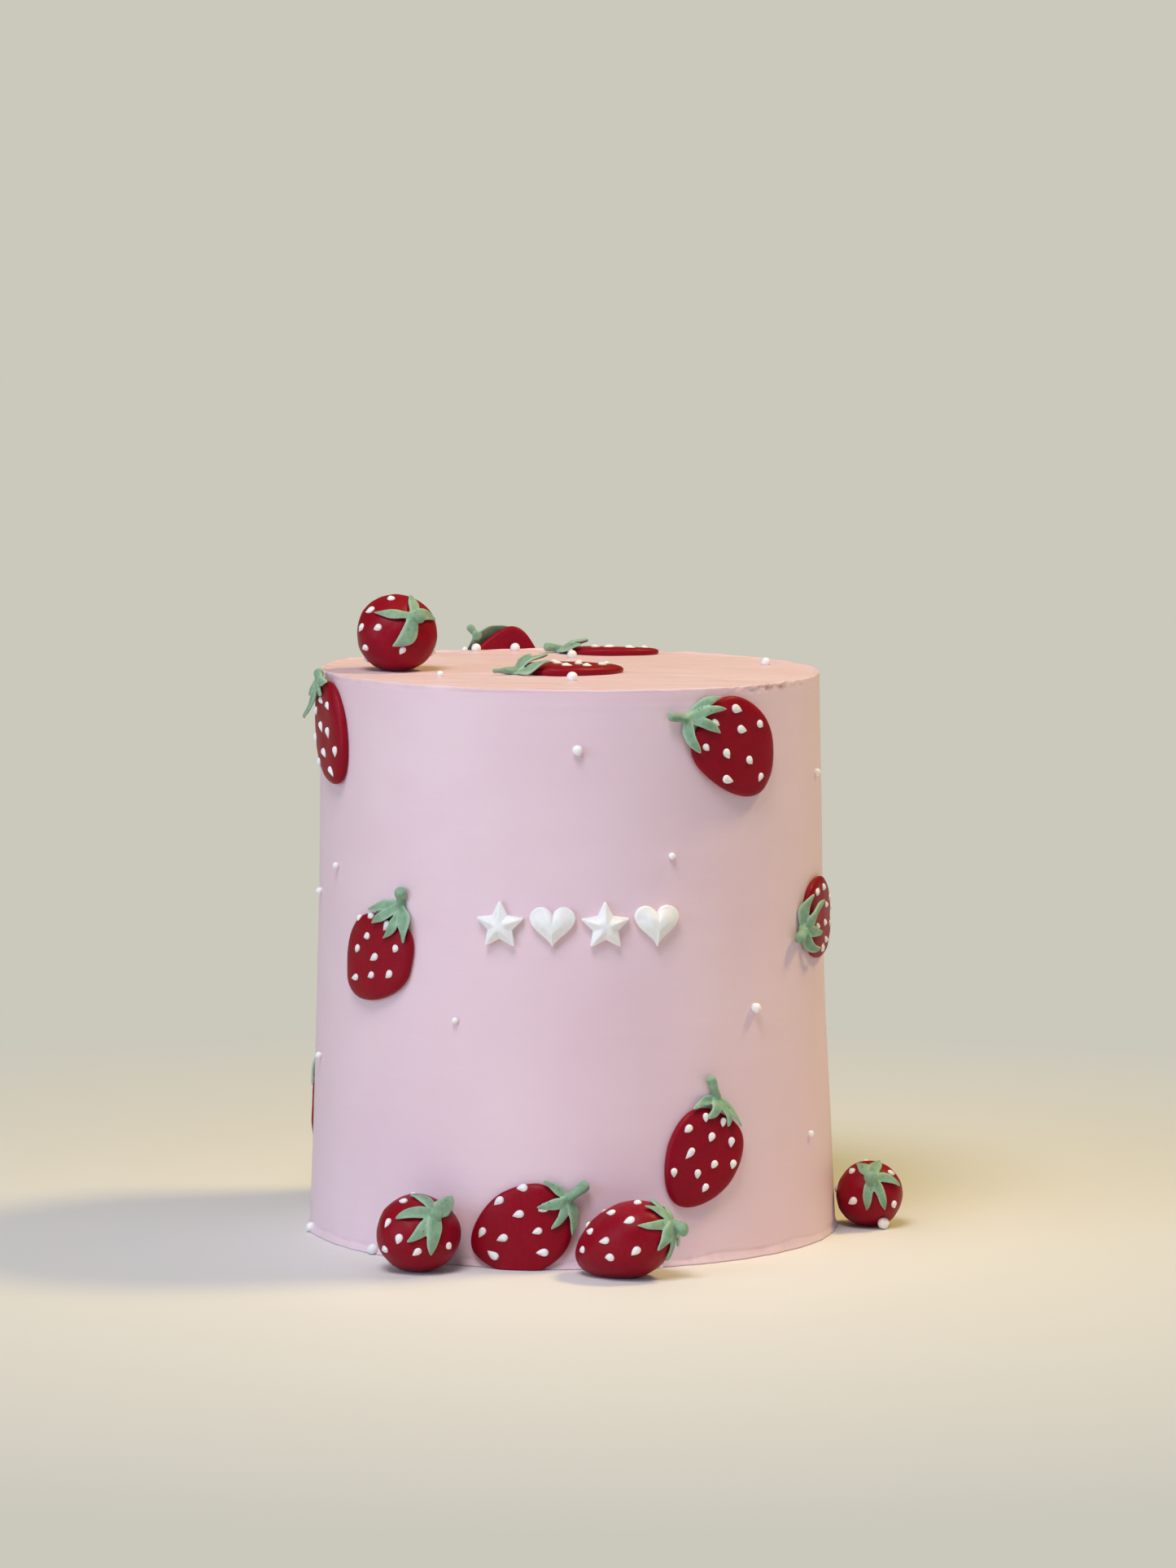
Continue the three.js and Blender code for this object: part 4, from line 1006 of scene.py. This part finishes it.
# Size is the radius across and along the axis, plan the centre's x and y, and floor what the berry
# rests on. Azimuth and rise say where the calyx points. Seeds are two angles in degrees, from the
# calyx and round the axis. Leaves are such angles for the tip, a bend, a lift and a share of the
# usual width.
BALL_BERRIES = {
    "ball_top": dict(
        size=[12, 11.8], taper=0.12, squash=0.965, azimuth=30.4, rise=31.1, plan=[-52.8, -6],
        floor=top_height(-52.8), stem=[1.2, -0.5, 2.2], knob=1.7,
        seeds=[[44, 110], [62, 146], [79, 170], [49, -175], [89, -161], [49, -113], [75, -40], [100, -90],
               [80, 20], [120, 90], [125, -20], [135, -150], [110, 50]],
        leaves=[[47, 70, 0.4, 0, 0.8], [52, 157, -0.5, 0, 0.75], [50, -132, -1.7, 0, 1.3],
                [42, 2, -0.6, 0, 0.9]],
    ),
    "foot_left": dict(
        size=[12.1, 11.8], taper=0.14, squash=0.94, azimuth=35, rise=40, plan=[-44.97, -78.9],
        stem=[-0.3, -0.5, 1.8], knob=1.6,
        seeds=[[64, 165], [59, -162], [58, -127], [46, -72], [95, -166], [65, 84], [50, 13], [46, 123],
               [98, -100], [90, -30], [110, 40], [112, 130]],
        leaves=[[44, 106, 1.3], [50, 167, 0.5], [54, -150, -1], [57, -106, 0.6, 0, 1.1],
                [46, 34, 0.4, 2.2, 1.25]],
    ),
    "foot_right": dict(
        size=[10.8, 15.4], taper=0.18, squash=0.99, azimuth=66.5, rise=24, sag=1.1, plan=[14.6, -89.6],
        stem=[0.5, -2.2, 3.6], knob=1.6,
        seeds=[[51, 102], [80, 122], [57, 148], [110, 137], [91, 167], [129, 161], [93, -166], [62, -160],
               [62, -80], [100, 80], [120, 100], [95, -60], [125, -110], [80, 10], [115, 30]],
        leaves=[[42, 88, 0.4, 0.3, 0.8], [40, 118, 0.4, 0.2, 0.8], [50, 161, -0.8, 0, 0.85],
                [42, -137, 0.5, 0, 1.1], [48, -98, -0.4, 0, 1], [40, -50, -0.6, 0.6],
                [38, 40, 0.5, 0.4, 0.9]],
    ),
    "right_back": dict(
        size=[9.9, 10.8], taper=0.05, squash=0.98, azimuth=1.4, rise=35.3, plan=[89, -4.8],
        stem=[-0.3, -0.5, 2.2], knob=1.7,
        seeds=[[43, 143], [50, -135], [44, 30], [62, -40], [72, 96], [95, -100], [90, 170], [96, 30],
               [120, 120], [120, -30]],
        leaves=[[44, 124, 0.5], [46, 68, -0.5], [52, -5, -1.1, 0, 0.9], [54, -101, 0.3, 0, 0.85],
                [58, -64, -0.4, 0, 0.85]],
    ),
}


def ball_skin(berry, angle, around, n):
    a, b = berry["size"]
    out = a * np.sin(angle) * (1 + berry["taper"] * np.cos(angle))
    spot = np.stack([out * np.cos(around), out * np.sin(around), b * np.cos(angle)], -1)
    away = spot / np.array([a * a, a * a, b * b])
    away = away / np.linalg.norm(away, axis=-1, keepdims=True)
    return spot + away * np.asarray(n)[..., None]


def ball_map(berry):
    """Local places round the calyx, as on a flat map of the ball's top."""
    radius = sum(berry["size"]) / 2
    return lambda x, y, n: ball_skin(berry, np.hypot(x, y) / radius, np.arctan2(y, x), n)


def ball_body(berry, start):
    def place(x, y, z):
        spot = ball_skin(berry, np.arccos(np.clip(z, -1, 1)), np.arctan2(y, x), 0 * z)
        away = spot / np.linalg.norm(spot, axis=-1, keepdims=True)
        return spot + away * relief(spot, BALL_DENTS, start)[:, None]
    return warped(unit_ball(*BALL_GRID), place)


def ball_seat(berry, angle, around):
    angle, around = math.radians(angle), math.radians(around)
    spot = ball_skin(berry, angle, around, -SEED_SINK)
    away = unit(ball_skin(berry, angle, around, 1.0) - spot)
    ahead = ball_skin(berry, angle - SEED_AHEAD, around, -SEED_SINK) - spot
    ahead = unit(ahead - away * np.dot(ahead, away))
    sideways = np.cross(ahead, away)
    return lambda u, v, w: spot + np.outer(u, sideways) + np.outer(v, ahead) + np.outer(w, away)


def ball_settle(berry, body):
    """Turns a ball berry as it lies, flattens it a little and sets it on what it rests on."""
    cos, sin = cos_sin(berry["azimuth"])
    level, rise = cos_sin(berry["rise"])
    axis = np.array([sin * level, -cos * level, rise])
    across = unit(np.cross((0, 0, 1), axis))
    basis = np.stack([across, np.cross(axis, across), axis])
    lowest = (body[0] @ basis)[:, 2].min() * berry["squash"]
    centre = np.array([*berry["plan"], berry["floor"] - lowest - berry["sag"]])

    def move(points):
        points = points @ basis * (1, 1, berry["squash"]) + centre
        above = points[:, 2] - berry["floor"]
        points[:, 2] = berry["floor"] + (above + np.sqrt(above ** 2 + SETTLE_SOFTNESS)) / 2
        return points
    return move


def mapped_leaves(berry):
    """The berry with its leaves' tips as places on the flat map of its top."""
    radius = sum(berry["size"]) / 2
    rows = []
    for angle, around, *rest in berry["leaves"]:
        reach, (cos, sin) = math.radians(angle) * radius, cos_sin(around)
        rows.append([reach * cos, reach * sin, *rest])
    return {**berry, "leaves": rows}


def add_body(name, part, finishes):
    add_piece(f"strawberry_{name}", part, finishes["red"], "red_fondant", [f"berry_{name}"])


def add_flat_berry(name, berry, index, finishes):
    """Adds a body and its leaves; gives its seeds."""
    add_body(name, flat_body(berry, index), finishes)
    add_calyx(name, berry["surface"], lambda x, y: flat_cover(berry, x, y), berry,
              LEAF_WIDTH, finishes["green"], index)
    rows = berry.get("seeds") or seed_rows(berry, index + 1)
    return seeds_on(rows, lambda x, y: flat_seat(berry, x, y), FLAT_DRAWS + index)


def add_ball_berry(name, berry, index, finishes):
    """Adds a body and its leaves; gives its seeds, but for those that it lies on."""
    body = ball_body(berry, index)
    move = ball_settle(berry, body)
    add_body(name, (move(body[0]), body[1]), finishes)
    add_calyx(name, ball_map(berry), lambda x, y: 0 * x, mapped_leaves(berry), BALL_LEAF_WIDTH,
              finishes["green"], index, move)
    seeds = seeds_on(berry["seeds"], lambda *angles: ball_seat(berry, *angles), BALL_DRAWS + index)
    seeds = [(move(points), faces) for points, faces in seeds]
    return [part for part in seeds if part[0][:, 2].min() > berry["floor"] + SEED_CLEARANCE]


def add_berries(finishes):
    seeds = []
    berries = {**FLAT_BERRIES, **BALL_BERRIES}
    for index, (name, berry) in enumerate(berries.items()):
        add = add_ball_berry if name in BALL_BERRIES else add_flat_berry
        seeds += add(name, {**USUAL, **berry}, index, finishes)
    carriers = [f"berry_{name}" for name in berries]
    add_piece("seeds", merged(seeds), finishes["seed"], "white_sugar", carriers)


# White pieces

# From the edge over the bevel to the middle: shares of the way out and of the thickness
PIECE_PROFILE = [
    (1, 0.42), (0.99, 0.49), (0.965, 0.53), (0.93, 0.55), (0.88, 0.57), (0.82, 0.61), (0.7, 0.71),
    (0.55, 0.83), (0.42, 0.93), (0.34, 0.97), (0.24, 0.99), (0.1, 1), (0, 1),
]


def star_outline(angle):
    wedge = math.pi / 5
    turn = np.mod(angle + wedge, 2 * wedge) - wedge
    inner = STAR_RADIUS * STAR_INNER
    normal = math.atan2(STAR_RADIUS - inner * math.cos(wedge), inner * math.sin(wedge))
    radius = STAR_RADIUS * math.cos(normal) / np.cos(np.abs(turn) - normal)
    return np.stack([radius * np.sin(angle), radius * np.cos(angle)], -1)


def heart_outline(angle):
    size = HEART_HALF_WIDTH / 16
    up = 13 * np.cos(angle) - 5 * np.cos(2 * angle) - 2 * np.cos(3 * angle) - np.cos(4 * angle)
    return np.stack([size * 16 * np.sin(angle) ** 3, size * (up + 2)], -1)


def rounded(outline, angle, window):
    """The outline with its corners rounded, as the mean of itself over a small turn."""
    shifts = np.linspace(-window, window, 9)
    return sum(outline(angle + shift) for shift in shifts) / len(shifts)


def white_piece(outline, window, surface):
    profile = [(share, height * PIECE_THICKNESS) for share, height in PIECE_PROFILE]
    profile = [(0, -GAP), (0.96, -GAP), (1, -0.1)] + profile

    def place(x, y, z):
        spot = rounded(outline, np.arctan2(x, y), window) * np.hypot(x, y)[:, None]
        return surface(spot[:, 0], spot[:, 1], z)
    return warped(turned(profile, PIECE_SIDES), place)


def add_white_pieces(finishes):
    kinds = [("star", star_outline, STAR_ROUNDING), ("heart", heart_outline, HEART_ROUNDING)]
    for index, azimuth in enumerate(PIECE_AZIMUTHS):
        kind, outline, rounding = kinds[index % len(kinds)]
        shape = white_piece(outline, rounding, on_side(azimuth, PIECE_HEIGHT_UP, 90))
        name = f"{kind}_{index + 1}"
        add_piece(f"sugar_{name}", shape, finishes["white"], "white_sugar", [name])


# Stage and light, in metres

BACKDROP = linear(203, 200, 188)
FLOOR_COLOUR = linear(228, 225, 225)
POOL_RADIUS = (0.13, 0.42)
FLOOR_RADII = (6.0, 1.6, 0.8, 0.4, 0.2, 0.1, 0.05)
FLOOR_SIDES = 64
FLOOR_DROP = 0.0001
LIGHT_AIM = (0, 0, 0.09)


def floor_disc():
    """A flat disc of rings, which is a turned form without its underside."""
    points, faces = turned([(radius, -FLOOR_DROP) for radius in (0, *FLOOR_RADII, 0)], FLOOR_SIDES)
    return points[1:], [[corner - 1 for corner in face] for face in faces if 0 not in face]


def add_floor():
    """A floor that is lit near the cake and fades into the backdrop."""
    mesh = new_mesh("floor", floor_disc(), 1)
    finish, tree, shader, place = new_material(
        "floor", Base_Color=FLOOR_COLOUR, Roughness=0.6, Specular_IOR_Level=0.2,
    )
    reach = node(tree, "ShaderNodeVectorMath", {0: place}, operation="LENGTH").outputs["Value"]
    share = spread(tree, reach, *POOL_RADIUS)
    glow = node(tree, "ShaderNodeEmission", {"Color": BACKDROP}).outputs[0]
    mix = node(tree, "ShaderNodeMixShader", {0: share, 1: shader.outputs[0], 2: glow}).outputs[0]
    tree.links.new(mix, tree.nodes["Material Output"].inputs["Surface"])
    mesh.materials.append(finish)
    floor = placed("floor", mesh)


# Lights: place in metres, colour, power in watts and the disk's diameter
LIGHTS = {
    "cool": ((-1.70, -1.25, 0.70), (0.47, 0.71, 1.0), 19.8, 1.5),
    "warm": ((1.22, 0.33, 1.89), (1.0, 0.76, 0.27), 25.9, 0.4),
    "over": ((-0.38, -1.03, 2.0), (0.99, 0.94, 1.0), 27.9, 1.0),
    "room": ((1.36, -1.63, 0.66), (0.36, 0.57, 1.0), 6.7, 1.6),
}
FILL = (0.15, 0.15, 0.06, 1)


def add_light(name, place, colour, power, size):
    data = bpy.data.lights.new(name, "AREA")
    data.shape = "DISK"
    data.size = size
    data.energy = power
    data.color = colour
    light = placed(name, data)
    light.location = place
    aim = Vector(LIGHT_AIM) - Vector(place)
    light.rotation_euler = aim.to_track_quat("-Z", "Y").to_euler()


def light_scene():
    """The backdrop is what the camera sees; the fill is what lights the cake."""
    bpy.context.scene.view_settings.view_transform = "Standard"
    world = bpy.data.worlds.new("world")
    bpy.context.scene.world = world
    world.use_nodes = True
    tree = world.node_tree
    fill = tree.nodes["Background"]
    fill.inputs["Color"].default_value = FILL
    backdrop = node(tree, "ShaderNodeBackground", {"Color": BACKDROP})
    seen = node(tree, "ShaderNodeLightPath").outputs["Is Camera Ray"]
    mix = node(tree, "ShaderNodeMixShader", {0: seen, 1: fill.outputs[0], 2: backdrop.outputs[0]})
    tree.links.new(mix.outputs[0], tree.nodes["World Output"].inputs["Surface"])
    for name, row in LIGHTS.items():
        add_light(name, *row)


make_camera()
light_scene()
add_floor()
FINISHES = {
    "icing": icing_material(),
    "red": red_material(),
    "green": green_material(),
    "white": white_material("white_sugar", 0.42, 0.4, 0.00005),
    "pearl": white_material("pearl", 0.28, 0.5, 0.00001),
    "seed": white_material("seed", 0.4, 0.4, 0.00003),
}
add_cake(FINISHES)
add_berries(FINISHES)
add_white_pieces(FINISHES)

bpy.context.view_layer.update()
